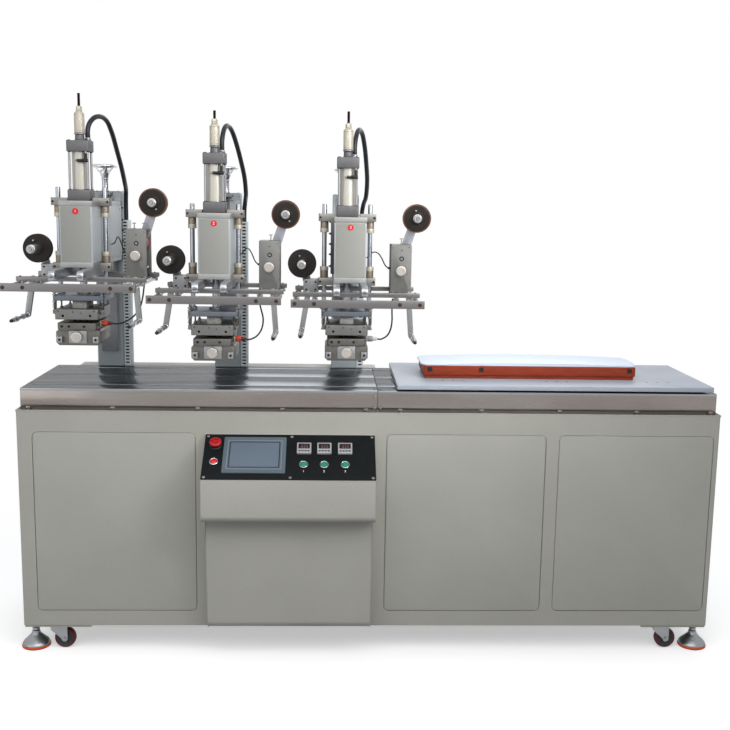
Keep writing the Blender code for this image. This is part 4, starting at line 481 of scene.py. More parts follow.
LONG_X = (60, 1, 1)
LONG_Z = (1, 1, 60)
FINISHES = {
    "cabinet_paint": painted("cabinet_enamel", (172, 171, 164)),
    "panel_paint": painted("service_panel_enamel", (170, 170, 164)),
    "console_paint": painted("console_enamel", (174, 173, 167)),
    "head_paint": painted("head_cover_enamel", (146, 147, 143), 0.4),
    # Cover sides and lids: lighter and bluer than the front's enamel, a painted reflection.
    "side_reflection_paint": painted("head_side_reflection_enamel", (176, 182, 186), 0.38),
    "column_paint": painted("column_enamel", (160, 168, 172), 0.38),
    "duct": plastic("duct_grey", (206, 214, 216), 0.5),
    "stainless": brushed("stainless_deck", (156, 159, 163), LONG_X, 0.2, dark=(118, 120, 124),
                         share=0.25, edge=0.42, relief=0.06, cloud=0.3),
    "skirt_steel": brushed("stainless_skirt", (150, 145, 141), LONG_X, 0.2, dark=(104, 90, 84),
                           share=0.3, edge=0.7, relief=0.06, cloud=0.45),
    "table": painted("table_enamel", (168, 175, 187), 0.44, dirt=(158, 162, 172)),
    "board": red_laminate("fixture_laminate"),
    "blank": plastic("pale_blank", (208, 222, 240), 0.34, relief=0.00004),
    "aluminium": cast_metal("milled_aluminium", (152, 153, 155), 0.4),
    "bar": brushed("drawn_aluminium", (124, 123, 123), LONG_X, 0.34, dark=(96, 90, 88), share=0.3,
                   edge=0.8),
    "ear_metal": cast_metal("clamp_ear_metal", (136, 134, 131), 0.42),
    "plate_cap": cast_metal("head_plate_metal", (158, 158, 156), 0.42, 0.6),
    "arm_metal": cast_metal("arm_metal", (172, 175, 182), 0.36),
    "box_metal": cast_metal("feed_box_metal", (121, 121, 119), 0.44),
    "cap_metal": cast_metal("cylinder_cap_metal", (106, 106, 108), 0.48),
    "barrel": brushed("anodised_barrel", (184, 181, 172), LONG_Z, 0.42, 0.5,
                      dark=(166, 160, 150), share=0.1, relief=0.04, cloud=0.12),
    "sleeve": brushed("nickel_sleeve", (188, 182, 168), (2, 2, 1), 0.46, 0.45,
                      dark=(166, 158, 144), share=0.08, relief=0.02, cloud=0.1),
    "bright": brushed("ground_rod", (176, 177, 180), (10, 10, 1), 0.2, share=0.15, relief=0.05),
    "steel": cast_metal("machine_steel", (132, 134, 138), 0.38, 1.0),
    "die_metal": cast_metal("die_block_metal", (128, 128, 127), 0.42, 0.85, 600),
    "guide_steel": Finish("guide_rod_steel", (158, 161, 168), 0.26, 1.0),
    "bush": brushed("bush_bronze", (142, 131, 117), (2, 2, 1), 0.42, 0.6,
                    dark=(126, 114, 98), share=0.15, relief=0.04),
    "chrome": Finish("chrome_plate", (196, 198, 202), 0.11, 1.0),
    "knob": brushed("turned_knob", (200, 194, 188), (1, 1, 1), 0.34, 0.75, share=0.15),
    "hub_metal": brushed("turned_hub", (186, 186, 186), (4, 1, 4), 0.3, 0.85, share=0.15),
    "plate_metal": cast_metal("press_plate_metal", (118, 123, 132), 0.4),
    "tool_steel": cast_metal("slide_steel", (112, 110, 106), 0.44, 0.85, 500),
    "insulator": plastic("heat_insulating_board", (160, 158, 152), 0.6),
    "screw": cast_metal("zinc_screw", (150, 148, 142), 0.32, 1.0),
    "dark_screw": cast_metal("black_oxide", (46, 42, 40), 0.42, 0.7, edge=0.5),
    "bar_screw": cast_metal("bronzed_screw", (84, 64, 54), 0.38, 0.8, edge=0.5),
    "spring": cast_metal("spring_steel", (112, 106, 98), 0.38, 0.9),
    "zinc": cast_metal("zinc_plate", (150, 152, 156), 0.36, 1.0),
    "reel": plastic("reel_flange", (26, 20, 17), 0.36, Specular_IOR_Level=0.25),
    "foil": plastic("wound_foil", (48, 27, 17), 0.3, Specular_IOR_Level=0.4),
    "copper": plastic("foil_edge", (96, 58, 40), 0.34, Specular_IOR_Level=0.4),
    "black": plastic("black_plastic", (28, 28, 30), 0.42),
    # Near-black painted shade for the insides of holes, screw crosses, port mouths and the wire
    # duct.
    "hole": Finish("hole_shadow", (14, 14, 15), 0.8, Specular_IOR_Level=0.1),
    "hose": plastic("hose_rubber", (30, 34, 40), 0.34),
    "cable": plastic("cable_skin", (28, 27, 26), 0.45),
    "orange": plastic("connector_orange", (206, 78, 44), 0.42),
    "panel_black": plastic("panel_black", (13, 17, 19), 0.5, 1600, 0.00006,
                           Specular_IOR_Level=0.12),
    "bezel_grey": plastic("screen_bezel", (86, 98, 108), 0.45, Specular_IOR_Level=0.2),
    "bezel_line": plastic("bezel_line", (124, 138, 148), 0.45, Specular_IOR_Level=0.2),
    "glass": Finish("screen_glass", (98, 110, 124), 0.22, Specular_IOR_Level=0.25),
    "silver": plastic("controller_silver", (158, 158, 160), 0.38),
    "display": Finish("controller_display", (44, 38, 40), 0.22, Specular_IOR_Level=0.25),
    "red": plastic("stop_red", (176, 18, 28), 0.28, Coat_Weight=0.2, Coat_Roughness=0.15),
    "dark_red": plastic("arrow_red", (110, 10, 18), 0.32),
    "digit_red": plastic("digit_red", (92, 44, 46), 0.32),
    "lamp_red": Finish("lamp_lens", (206, 30, 34), 0.16, Coat_Weight=0.3),
    "green": plastic("button_green", (20, 132, 96), 0.26, Coat_Weight=0.2, Coat_Roughness=0.1),
    "badge": plastic("badge_red", (214, 30, 40), 0.3),
    "white": plastic("badge_white", (240, 240, 240), 0.4),
    "tread": plastic("wheel_tread", (92, 26, 24), 0.42),
    "wheel": plastic("wheel_centre", (56, 58, 62), 0.45),
    "ring": plastic("foot_ring", (206, 84, 44), 0.5),
    "roller_red": plastic("silicone_roller", (150, 34, 44), 0.4),
    "roller_grey": plastic("rubber_roller", (78, 80, 84), 0.5),
}


# Pieces

def piece(name, body, at, groups, replaces=(), sharp=38):
    """One object of shapes grouped by finish, that rides on a body."""
    points, faces, marks, count = [], [], [], 0
    for index, (_, shapes) in enumerate(groups):
        for part, part_faces in shapes:
            points.append(part)
            faces.extend([[k + count for k in face] for face in part_faces])
            marks.extend([index] * len(part_faces))
            count += len(part)
    mesh = bpy.data.meshes.new(name)
    mesh.from_pydata((np.concatenate(points) + np.asarray(at, float)).tolist(), [], faces)
    for finish, _ in groups:
        mesh.materials.append(FINISHES[finish].made)
    mesh.polygons.foreach_set("material_index", marks)
    mesh.shade_smooth()
    mesh.set_sharp_from_angle(angle=math.radians(sharp))
    made = bpy.data.objects.new(name, mesh)
    bpy.context.scene.collection.objects.link(made)
    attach(made, body)
    if replaces:
        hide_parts(*replaces)
    return made


def fixed(name, groups, replaces=()):
    """A piece of the base, drawn from the bed's front edge and top."""
    return piece(name, "base", BASE, groups, replaces)


def screws(places, towards, radius, height):
    """The same socket screw at several places."""
    return copies(cap_screw(radius, height), places, towards)


def well(radius, taper, proud, sides=24, sink=0.001):
    """Dark disc of painted shade that reads as a hole: sunk into a face and a hair proud of it."""
    return turned([(radius, -sink), (radius - taper, proud)], sides, 0)


def eyelet(inner, outer, proud):
    """Low bright ring round a hole: its section is a flat trapezium that leans outwards."""
    return turned([(inner, -0.001), (outer, -0.001), (outer - 0.0002, proud),
                   (inner + 0.0002, proud - 0.0001)], 28, 0.0002, closed=True)


def gathered(sets):
    """Several (heads, slots) pairs of screws as one pair."""
    return [sum(parts, []) for parts in zip(*sets)]


def pan_screws(places, towards, radius):
    """Domed screw heads, each with a cross sunk into it whose dark colour is painted shade."""
    dome = turned([(radius, 0), (radius, 0.25 * radius), (0.72 * radius, 0.5 * radius),
                   (0.25 * radius, 0.6 * radius)], 16, 0.1 * radius)
    arm = box((-0.5 * radius, -0.09 * radius, 0.5 * radius),
              (0.5 * radius, 0.09 * radius, 0.63 * radius), 0.02 * radius, 1)
    heads = copies(dome, places, towards)
    slots = [aimed(arm, place, towards, spin) for place in places
             for spin in (TURN / 8, TURN * 3 / 8)]
    return heads, slots


# Cabinet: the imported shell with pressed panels, plus what stands on its back

PANEL_SPANS = (("left_panel", -1.157, -0.606), ("middle_panel", 0.051, 0.603),
               ("right_panel", 0.65, 1.19))
PANEL_LOW_H, PANEL_HIGH_H = -0.784, -0.147
PANEL_CORNER, PANEL_THICK = 0.016, 0.0115
CABINET_FRONT, CABINET_BACK = -0.025, 0.585
FOLD_HALF, FOLD_FRONT, FOLD_BACK, FOLD_WALL = 1.2105, -0.0255, 0.5855, 0.002
FOLD_LOW, FOLD_HIGH = -0.0762, -0.0705
REAR_SPANS = ((-1.13, -0.4), (-0.365, 0.365), (0.4, 1.13))
REAR_LOW, REAR_HIGH, REAR_THICK = -0.79, -0.14, 0.0015
LOUVRE_ROWS, LOUVRE_LOW, LOUVRE_PITCH = 8, -0.66, 0.018
LOUVRE_SHIFT, LOUVRE_HALF = 0.16, 0.06


def make_cabinet():
    """Painted shell with three pressed service doors, a folded top rim and rear covers."""
    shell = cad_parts["cabinet"]
    shell.data.materials.clear()
    shell.data.materials.append(FINISHES["cabinet_paint"].made)
    for name, left, right in PANEL_SPANS:
        outline = round_rect((left, PANEL_LOW_H), (right, PANEL_HIGH_H), PANEL_CORNER, 6)
        door = along_y(outline, CABINET_FRONT, CABINET_FRONT + PANEL_THICK, 0.0022, 4)
        fixed(name + "_pressing", [("panel_paint", [door])], [name])
    spans = ((-FOLD_HALF, FOLD_HALF, FOLD_FRONT, FOLD_FRONT + FOLD_WALL),
             (-FOLD_HALF, FOLD_HALF, FOLD_BACK - FOLD_WALL, FOLD_BACK),
             (-FOLD_HALF, FOLD_WALL - FOLD_HALF, FOLD_FRONT, FOLD_BACK),
             (FOLD_HALF - FOLD_WALL, FOLD_HALF, FOLD_FRONT, FOLD_BACK))
    fold = [box((left, front, FOLD_LOW), (right, back, FOLD_HIGH), 0.0009)
            for left, right, front, back in spans]
    fixed("cabinet_top_fold", [("cabinet_paint", fold)])
    covers, slats, sets = [], [], []
    for left, right in REAR_SPANS:
        middle = (left + right) / 2
        outline = round_rect((left, REAR_LOW), (right, REAR_HIGH), 0.008)
        covers.append(along_y(outline, CABINET_BACK, CABINET_BACK + REAR_THICK, 0.0006))
        sets.append(pan_screws([(x, CABINET_BACK + REAR_THICK, h)
                                for x in (left + 0.02, middle, right - 0.02)
                                for h in (REAR_LOW + 0.015, REAR_HIGH - 0.015)], BACK, 0.0042))
        for row in range(LOUVRE_ROWS):
            h = LOUVRE_LOW + row * LOUVRE_PITCH
            hood = [(CABINET_BACK + 0.0012, h), (CABINET_BACK + 0.0012, h + 0.011),
                    (CABINET_BACK + 0.006, h + 0.002), (CABINET_BACK + 0.006, h)]
            for x in (middle - LOUVRE_SHIFT, middle + LOUVRE_SHIFT):
                slats.append(along_x(hood, x - LOUVRE_HALF, x + LOUVRE_HALF))
    heads, slots = gathered(sets)
    fixed("rear_covers", [("panel_paint", covers + slats)])
    fixed("rear_cover_screws", [("screw", heads), ("hole", slots)])


# Bed deck: steel strips with the two slots and the seam between them

BED_LEFT, BED_RIGHT = -1.2, 1.2
BED_DEPTH = 0.5
SPLICE = 0.018
DECK_STRIPS = ((0.0, 0.073), (0.087, 0.2692), (0.2708, 0.433), (0.447, BED_DEPTH))
DECK_THICK = 0.008
SKIRT_LOW, SKIRT_HIGH, SKIRT_THICK = -0.0745, -0.002, 0.003
RAIL_MIDDLES = (0.08, 0.44)
RAIL_SECTIONS = ((0.022, -0.056, -0.046, 0.001), (0.007, -0.0465, -0.034, 0.0015))
BEAM_LEFT, BEAM_RIGHT, BEAM_DEPTH = -1.118, 0.032, 0.082
TAB_PLACES = (-1.173, -0.888, -0.599, -0.31, -0.022, 0.096, 0.378, 0.651, 0.921, 1.181)
TAB_HALF = 0.007


def make_bed():
    """Deck strips with their slots and splice, skirts, table rails, column beam and clips."""
    ends = ((BED_LEFT, SPLICE - 0.0005), (SPLICE + 0.0005, BED_RIGHT))
    deck = [box((left, front, -DECK_THICK), (right, back, 0), 0.0012, 3)
            for front, back in DECK_STRIPS for left, right in ends]
    deck += [box((left + 0.0003, middle - 0.0075, -DECK_THICK + 0.0002),
                 (left + 0.0197, middle + 0.0075, -0.0001), 0.0004, 1)
             for middle in RAIL_MIDDLES for left in (BED_LEFT, BED_RIGHT - 0.02)]
    fixed("bed_deck", [("stainless", deck)], ["bed"])
    skirts = []
    for left, right in ends:
        skirts.append(box((left, 0.0002, SKIRT_LOW), (right, 0.0032, -0.0014)))
        skirts.append(box((left, BED_DEPTH - SKIRT_THICK, SKIRT_LOW),
                          (right, BED_DEPTH, SKIRT_HIGH)))
    for left in (BED_LEFT, BED_RIGHT - SKIRT_THICK):
        skirts.append(box((left, 0.0006, SKIRT_LOW),
                          (left + SKIRT_THICK, BED_DEPTH - 0.0006, SKIRT_HIGH)))
    fixed("bed_skirt", [("skirt_steel", skirts)])
    rails = [box((BED_LEFT + SKIRT_THICK, middle - half, low),
                 (BED_RIGHT - SKIRT_THICK, middle + half, high), edge)
             for middle in RAIL_MIDDLES for half, low, high, edge in RAIL_SECTIONS]
    fixed("bed_rails", [("steel", rails)])
    beam = box((BEAM_LEFT, BED_DEPTH - 0.0005, SKIRT_LOW), (BEAM_RIGHT, BED_DEPTH + BEAM_DEPTH, 0),
               0.002, 3)
    fixed("column_beam", [("cabinet_paint", [beam])])
    bolts = [(SPLICE + side, 0.0002, h) for side in (-0.0105, 0.0105) for h in (-0.02, -0.058)]
    heads = screws(bolts, FRONT, 0.0048, 0.0028)
    heads += screws([(SPLICE + side, 0.03, 0) for side in (-0.011, 0.011)], UP, 0.0048, 0.0024)
    heads += screws([(BED_LEFT + 0.035, 0.012, 0.0)], UP, 0.0035, 0.0008)
    fixed("splice_bolts", [("screw", heads)])
    tabs = []
    for left, right in ((x - TAB_HALF, x + TAB_HALF) for x in TAB_PLACES):
        tabs.append(box((left, -0.0015, SKIRT_LOW), (right, 0.0003, -0.062), 0.0006))
        tabs.append(box((left, -0.016, SKIRT_LOW - 0.0003), (right, 0.0003, -0.0733), 0.0006))
    marks, crosses = pan_screws([(x, -0.009, -0.0733) for x in TAB_PLACES], UP, 0.004)
    fixed("bed_clips", [("skirt_steel", tabs), ("screw", marks), ("hole", crosses)])


# Console: rolled desk and the box under it

CONSOLE_MIDDLE = -0.28
DESK_HALF, BOX_HALF = 0.288, 0.282
DESK_TOP, DESK_FALL, DESK_RUN = -0.15, 0.113, 0.168
DESK_LEDGE, DESK_FACE, DESK_ROLL = 0.007, 0.122, 0.026
BOX_HEAD, BOX_FOOT, BOX_BOTTOM, BOX_ROLL = -0.13, -0.087, -0.826, 0.03
DESK_SLOPE = math.atan2(DESK_FALL, DESK_RUN)
DESK_LENGTH = math.hypot(DESK_FALL, DESK_RUN)


def make_console():
    """Desk with a rolled lower edge, the narrower box under it, and the rim behind."""
    back = CABINET_FRONT - 0.0003
    nose = CABINET_FRONT - DESK_LEDGE - DESK_RUN
    brow = DESK_TOP - DESK_FALL
    bottom = brow - DESK_FACE
    desk = np.concatenate([
        [(back, bottom - DESK_ROLL), (back, DESK_TOP), (back - DESK_LEDGE, DESK_TOP)],
        arc_points((nose + 0.004, brow - 0.0015), 0.0035, TURN * 0.32, TURN / 2, 4),
        arc_points((nose + DESK_ROLL, bottom), DESK_ROLL, TURN / 2, TURN * 3 / 4, 12)])
    under = np.concatenate([
        [(back, BOX_BOTTOM), (back, bottom - 0.02), (BOX_HEAD, bottom - 0.02)],
        arc_points((BOX_FOOT + BOX_ROLL, BOX_BOTTOM + BOX_ROLL), BOX_ROLL, TURN * 0.495,
                   TURN * 3 / 4, 12)])
    fixed("console_desk", [("console_paint", [
        along_x(desk[::-1], CONSOLE_MIDDLE - DESK_HALF, CONSOLE_MIDDLE + DESK_HALF, 0.0022, 4)])],
        ["console"])
    fixed("console_box", [("console_paint", [
        along_x(under[::-1], CONSOLE_MIDDLE - BOX_HALF, CONSOLE_MIDDLE + BOX_HALF, 0.004, 4)])])
    lip = [(CONSOLE_MIDDLE - DESK_HALF, -0.033, DESK_TOP + 0.0002),
           (CONSOLE_MIDDLE + DESK_HALF, -0.0255, DESK_TOP + 0.0035)]
    fixed("console_rim", [("console_paint", [box(*lip, 0.0012)])])


# Control panel: shapes lie in the desk's own frame, x along it, y up the slope, z out of it

FACE = 0.003
SCREEN_X, SCREEN_Y = 0.171, -0.0975
CONTROL_XS = (0.336, 0.404, 0.474)
CONTROL_Y, START_Y = -0.067, -0.138
SEAT = FACE - 0.0005
CONTROL_HALF, WINDOW_Y, KEY_Y = 0.024, CONTROL_Y + 0.0075, CONTROL_Y - 0.0135
KEY_SHIFTS, DIGIT_SHIFTS = (-0.015, -0.005, 0.005, 0.015), (-0.007, 0.0015, 0.01)
STOP_X, STOP_Y, LAMP_Y = 0.038, -0.052, -0.127
CORNER_SCREWS = ((0.01, -0.01), (0.293, -0.01), (0.566, -0.01), (0.01, -0.1925),
                 (0.293, -0.1925), (0.566, -0.1925))
SLOPE_TURN = np.array(((1, 0, 0), (0, math.cos(DESK_SLOPE), -math.sin(DESK_SLOPE)),
                       (0, math.sin(DESK_SLOPE), math.cos(DESK_SLOPE))))
DESK_CORNER = (CONSOLE_MIDDLE - DESK_HALF, CABINET_FRONT - DESK_LEDGE, DESK_TOP)


def on_desk(*shapes):
    """Shapes of the desk's frame, put on the sloping desk."""
    return [moved(shape, DESK_CORNER, SLOPE_TURN) for shape in shapes]


def block(x, y, half_x, half_y, low, high, radius=0.002, edge=0.0008):
    """Upright block about a middle, with rounded corners."""
    outline = round_rect((x - half_x, y - half_y), (x + half_x, y + half_y), radius, 3)
    return slab(outline, low, high, edge)


def frame_of(x, y, half_x, half_y, width, low, high):
    """Flat frame round an opening: an outline and the same outline drawn in."""
    outer = round_rect((x - half_x, y - half_y), (x + half_x, y + half_y), 0.004, 3)
    inner = drawn_in(outer, width)
    rings = [np.column_stack([line, np.full(len(line), level)])
             for line, level in ((outer, low), (outer, high), (inner, high), (inner, low))]
    return skin(rings, closed=True)


def bezel_ring(x, y, outer, inner, low, high):
    """Bright ring round a button: its rim rises and falls over a rounded crest."""
    crest = (outer + inner) / 2
    shoulder = high - 0.0012
    profile = [(inner, low), (outer, low), (outer, shoulder), (crest, high), (inner, shoulder)]
    return moved(turned(profile, 32, 0.0007, closed=True), (x, y, 0))


def make_control_panel():
    """Black face plate with its screen, controllers, bezels, lamp and screws."""
    plate = slab(round_rect((0, -DESK_LENGTH + 0.0005), (2 * DESK_HALF, -0.0005), 0.003, 3),
                 0.0003, FACE, 0.0006)
    fixed("panel_plate", [("panel_black", on_desk(plate))],
          ["control_panel"])
    top = FACE + 0.006
    shell = block(SCREEN_X, SCREEN_Y, 0.105, 0.08, SEAT, top, 0.004, 0.0016)
    line = frame_of(SCREEN_X, SCREEN_Y, 0.0915, 0.0645, 0.0022, top - 0.0006, top + 0.0006)
    inner = frame_of(SCREEN_X, SCREEN_Y, 0.0845, 0.0575, 0.003, top - 0.0006, top + 0.0003)
    glass = block(SCREEN_X, SCREEN_Y, 0.0815, 0.0545, top - 0.001, top + 0.00015, 0.002, 0.0001)
    fixed("touch_screen", [
        ("bezel_grey", on_desk(shell)), ("bezel_line", on_desk(line)),
        ("black", on_desk(inner)), ("glass", on_desk(glass))])
    high = FACE + 0.008
    for number, x in enumerate(CONTROL_XS, 1):
        body = block(x, CONTROL_Y, CONTROL_HALF, CONTROL_HALF, SEAT, high, 0.002, 0.0012)
        rim = frame_of(x, WINDOW_Y, 0.0205, 0.0125, 0.0012, high - 0.0004, high + 0.0006)
        window = block(x, WINDOW_Y, 0.0193, 0.0113, high - 0.001, high + 0.0002, 0.001, 0.0001)
        keys = [block(x + shift, KEY_Y, 0.0036, 0.0026, high - 0.0004, high + 0.0009, 0.001, 0.0004)
                for shift in KEY_SHIFTS]
        rows = [block(x + shift, CONTROL_Y + lift, 0.0026, 0.0032, high - 0.0004, high + 0.00035,
                      0.0008, 0.00005)
                for shift in DIGIT_SHIFTS for lift in (0.0118, 0.003)]
        fixed("heat_controller_%d" % number, [
            ("silver", on_desk(body, rim)), ("display", on_desk(window)),
            ("black", on_desk(*keys)), ("digit_red", on_desk(*rows[::2])),
            ("roller_grey", on_desk(*rows[1::2]))])
        digit = moved(figure(str(number), 0.012, 0.0002), (x, START_Y - 0.0265, FACE + 0.0001))
        fixed("start_numeral_%d" % number,
              [("white", on_desk(digit))])
    rings = [bezel_ring(x, START_Y, 0.015, 0.0121, SEAT, FACE + 0.0062) for x in CONTROL_XS]
    rings.append(bezel_ring(STOP_X, LAMP_Y, 0.015, 0.0112, SEAT, FACE + 0.0062))
    collar = moved(turned([(0.0086, SEAT), (0.021, SEAT), (0.021, FACE + 0.0022),
                           (0.0175, FACE + 0.004), (0.0086, FACE + 0.004)], 36, closed=True),
                   (STOP_X, STOP_Y, 0))
    fixed("button_bezels", [
        ("chrome", on_desk(*rings)), ("black", on_desk(collar))])
    lens = [(0.011, FACE - 0.0004), (0.011, FACE + 0.0072), (0.0082, FACE + 0.0086),
            (0.004, FACE + 0.009)]
    fixed("lamp_lens", [
        ("lamp_red", on_desk(moved(turned(lens, 32), (STOP_X, LAMP_Y, 0))))])
    heads, slots = pan_screws([(x, y, FACE) for x, y in CORNER_SCREWS], UP, 0.0052)
    fixed("panel_screws", [
        ("screw", on_desk(*heads)), ("hole", on_desk(*slots))])


def make_buttons():
    """Stop mushroom with three turning arrows, and the caps of the start buttons."""
    under = FACE + 0.0095
    head = [(0.008, under - 0.03), (0.008, under), (0.0165, under), (0.02, under + 0.003),
            (0.02, under + 0.0085), (0.0172, under + 0.0122), (0.008, under + 0.013)]
    mushroom = moved(turned(head, 48, 0.0022), (STOP_X, STOP_Y, 0))
    crown = under + 0.0129
    arrows = []
    for k in range(3):
        angle = TURN * k / 3 + 0.35
        ring = arc_points((0, 0), 0.0118, angle, angle + 1.25, 10)
        core = arc_points((0, 0), 0.0078, angle + 1.25, angle, 10)
        tip = arc_points((0, 0), 0.0098, angle + 1.7, angle + 1.7, 0)
        outline = np.concatenate([ring, tip, core])
        arrows.append(moved(slab(outline, crown - 0.0012, crown + 0.0002, 0.0001, 1),
                            (STOP_X, STOP_Y, 0)))
    piece("stop_mushroom", "emergency_stop", BASE, [
        ("red", on_desk(mushroom)), ("dark_red", on_desk(*arrows))], ["emergency_stop"])
    for number, x in enumerate(CONTROL_XS, 1):
        cap = [(0.006, FACE - 0.022), (0.006, FACE + 0.0045), (0.0112, FACE + 0.0045),
               (0.0112, FACE + 0.0072), (0.0095, FACE + 0.0084), (0.005, FACE + 0.008)]
        name = "start_button_%d" % number
        piece(name + "_cap", name, BASE, [
            ("green", on_desk(moved(turned(cap, 36, 0.001), (x, START_Y, 0))))], [name])


# Feet and castors

CORNERS = ("front_left", "front_right", "rear_left", "rear_right")
FOOT_XS, FOOT_VS = (-1.188, 1.188), (0.045, 0.515)
PIN_XS, PIN_VS = (-1.106, 1.054), (0.031, 0.529)
GROUND = -BED_TOP
FORK_TOP = -0.848
TRAIL = 0.026
WHEEL_RADIUS = 0.0375


def make_foot(name, x, v):
    """Cone foot: flared plate on a rubber ring, ball neck, stud, two nuts."""
    cone = [(0.044, 0.0085), (0.0475, 0.0095), (0.0482, 0.013), (0.044, 0.02), (0.03, 0.033),
            (0.0175, 0.046), (0.014, 0.054), (0.014, 0.058), (0.008, 0.06)]
    ring = [(0.047, 0.0), (0.05, 0.0022), (0.05, 0.0078), (0.0485, 0.0098), (0.044, 0.01)]
    groups = [
        ("zinc", [turned(cone, 48, 0.003), thread((0, 0, 0.058), (0, 0, 0.117), 0.008, 0.002, 16),
                  moved(hex_nut(0.0132, 0.0095), (0, 0, 0.0868)),
                  moved(hex_nut(0.0132, 0.0085), (0, 0, 0.0605))]),
        ("ring", [turned(ring, 48, 0.001)])]
    piece(name + "_cone", name, (x, BED_FRONT + v, BED_TOP + GROUND), groups, [name])


def make_wheel(name, x, v):
    """Wheel about Y: a crowned tread round a ribbed centre with a pressed hub."""
    axle = GROUND + WHEEL_RADIUS + 0.001
    tread = [(0.0295, -0.0118), (0.0335, -0.012), (0.0362, -0.0095), (0.0373, -0.005),
             (0.0375, 0.0), (0.0373, 0.005), (0.0362, 0.0095), (0.0335, 0.012), (0.0295, 0.0118)]
    centre = [(0.0045, -0.014), (0.0115, -0.014), (0.012, -0.0105), (0.015, -0.007),
              (0.024, -0.007), (0.027, -0.0112), (0.0298, -0.0116), (0.0298, 0.0116),
              (0.027, 0.0112), (0.024, 0.007), (0.015, 0.007), (0.012, 0.0105),
              (0.0115, 0.014), (0.0045, 0.014)]
    rib = box((0.0118, -0.0012, -0.01), (0.0275, 0.0012, 0.01), 0.0006)
    ribs = [aimed(rib, HERE, BACK, TURN * k / 6) for k in range(6)]
    piece(name + "_tyre", name, (x + TRAIL, BED_FRONT + v, BED_TOP + axle), [
        ("tread", [lathe_y(tread, 48, 0.001)]),
        ("wheel", [lathe_y(centre, 40, 0.0012)] + ribs)], [name])


def make_fork(name, x, v):
    """Pressed fork: plate with four bolts, swivel race, two leaning cheeks, axle bolt, pedal."""
    top = FORK_TOP
    crown = top - 0.01
    axle_h = GROUND + WHEEL_RADIUS + 0.001
    plate = box((-0.03, -0.03, top - 0.0029), (0.03, 0.03, top - 0.0003), 0.0012, 3)
    bolts = [aimed(hex_nut(0.0055, 0.0032), (sx * 0.022, sy * 0.022, top - 0.0029), DOWN)
             for sx in (-1, 1) for sy in (-1, 1)]
    race = turned([(0.018, crown - 0.0005), (0.024, crown + 0.001), (0.0245, crown + 0.0045),
                   (0.02, crown + 0.0074)], 36, 0.002)
    bridge = box((-0.021, -0.0162, crown - 0.003), (0.036, 0.0162, crown + 0.0004), 0.0012, 3)
    outline = np.concatenate([
        [(0.0365, crown), (-0.0215, crown), (-0.0215, crown - 0.016)],
        arc_points((TRAIL, axle_h), 0.0108, TURN / 2, TURN, 10)])
    cheeks = [along_y(outline, front, front + 0.0029) for front in (-0.0187, 0.0158)]
    ends = [aimed(hex_nut(0.0068, 0.0034), (TRAIL, side * 0.0187, axle_h), (0, side, 0))
            for side in (-1, 1)]
    ends.append(drum_y(TRAIL, axle_h, -0.0215, 0.0215, 0.0038, 16))
    lever = [(0.03, crown - 0.001), (0.03, crown - 0.0062), (0.046, crown - 0.0068),
             (0.0695, crown - 0.0068), (0.0695, crown - 0.0035), (0.05, crown - 0.003),
             (0.04, crown - 0.001)]
    pedal = box((0.048, -0.0095, crown - 0.0034), (0.0688, 0.0095, crown - 0.0016), 0.0007)
    piece(name + "_pressing", name, (x, BED_FRONT + v, BED_TOP), [
        ("zinc", [plate, race, bridge] + cheeks), ("screw", bolts + ends),
        ("zinc", [along_y(lever[::-1], -0.0098, 0.0098, 0.001)]), ("black", [pedal])], [name])


def make_undercarriage():
    """Feet, wheels and front forks; the rear forks are part of the cabinet."""
    for k, corner in enumerate(CORNERS):
        make_foot("levelling_foot_" + corner, FOOT_XS[k % 2], FOOT_VS[k // 2])
        x, v = PIN_XS[k % 2], PIN_VS[k // 2]
        make_wheel("castor_wheel_" + corner, x, v)
        if corner.startswith("front"):
            make_fork("castor_fork_" + corner, x, v)


# Work table and fixture

TABLE_LEFT, TABLE_LENGTH = 0.083, 1.098
TABLE_FRONT, TABLE_BACK = -0.022, 0.472
TABLE_LOW, TABLE_HIGH = 0.01, 0.026
HOLE_GROUPS, HOLE_PITCH, HOLE_V = (0.285, 0.653, 1.012), 0.037, 0.075
WEB_INSET, WEB_HALF = 0.09, 0.0045
SHOE_LENGTH, SHOE_HALF, SHOE_LOW, SHOE_HIGH = 0.09, 0.015, -0.0335, -0.0095
BOARD_LEFT, BOARD_LENGTH = 0.185, 0.76
BOARD_FRONT, BOARD_DEPTH = 0.115, 0.205
BOARD_LOW, BOARD_HIGH = 0.0263, 0.0723
CLIP_SHARES, CLIP_HALF = (0.03, 0.27, 0.97), 0.008
BLANK_COLUMNS, BLANK_ROWS = 49, 25
BLANK_OVERHANG, BLANK_CORNER, BLANK_RIM, BLANK_CROWN = 0.008, 0.022, 0.006, 0.013


def on_table(name, node, groups, stands_for=False, sharp=38):
    """A piece that rides on the table; with stands_for it replaces its node."""
    return piece(name, "table", BASE, groups, [node] if stands_for else (), sharp)


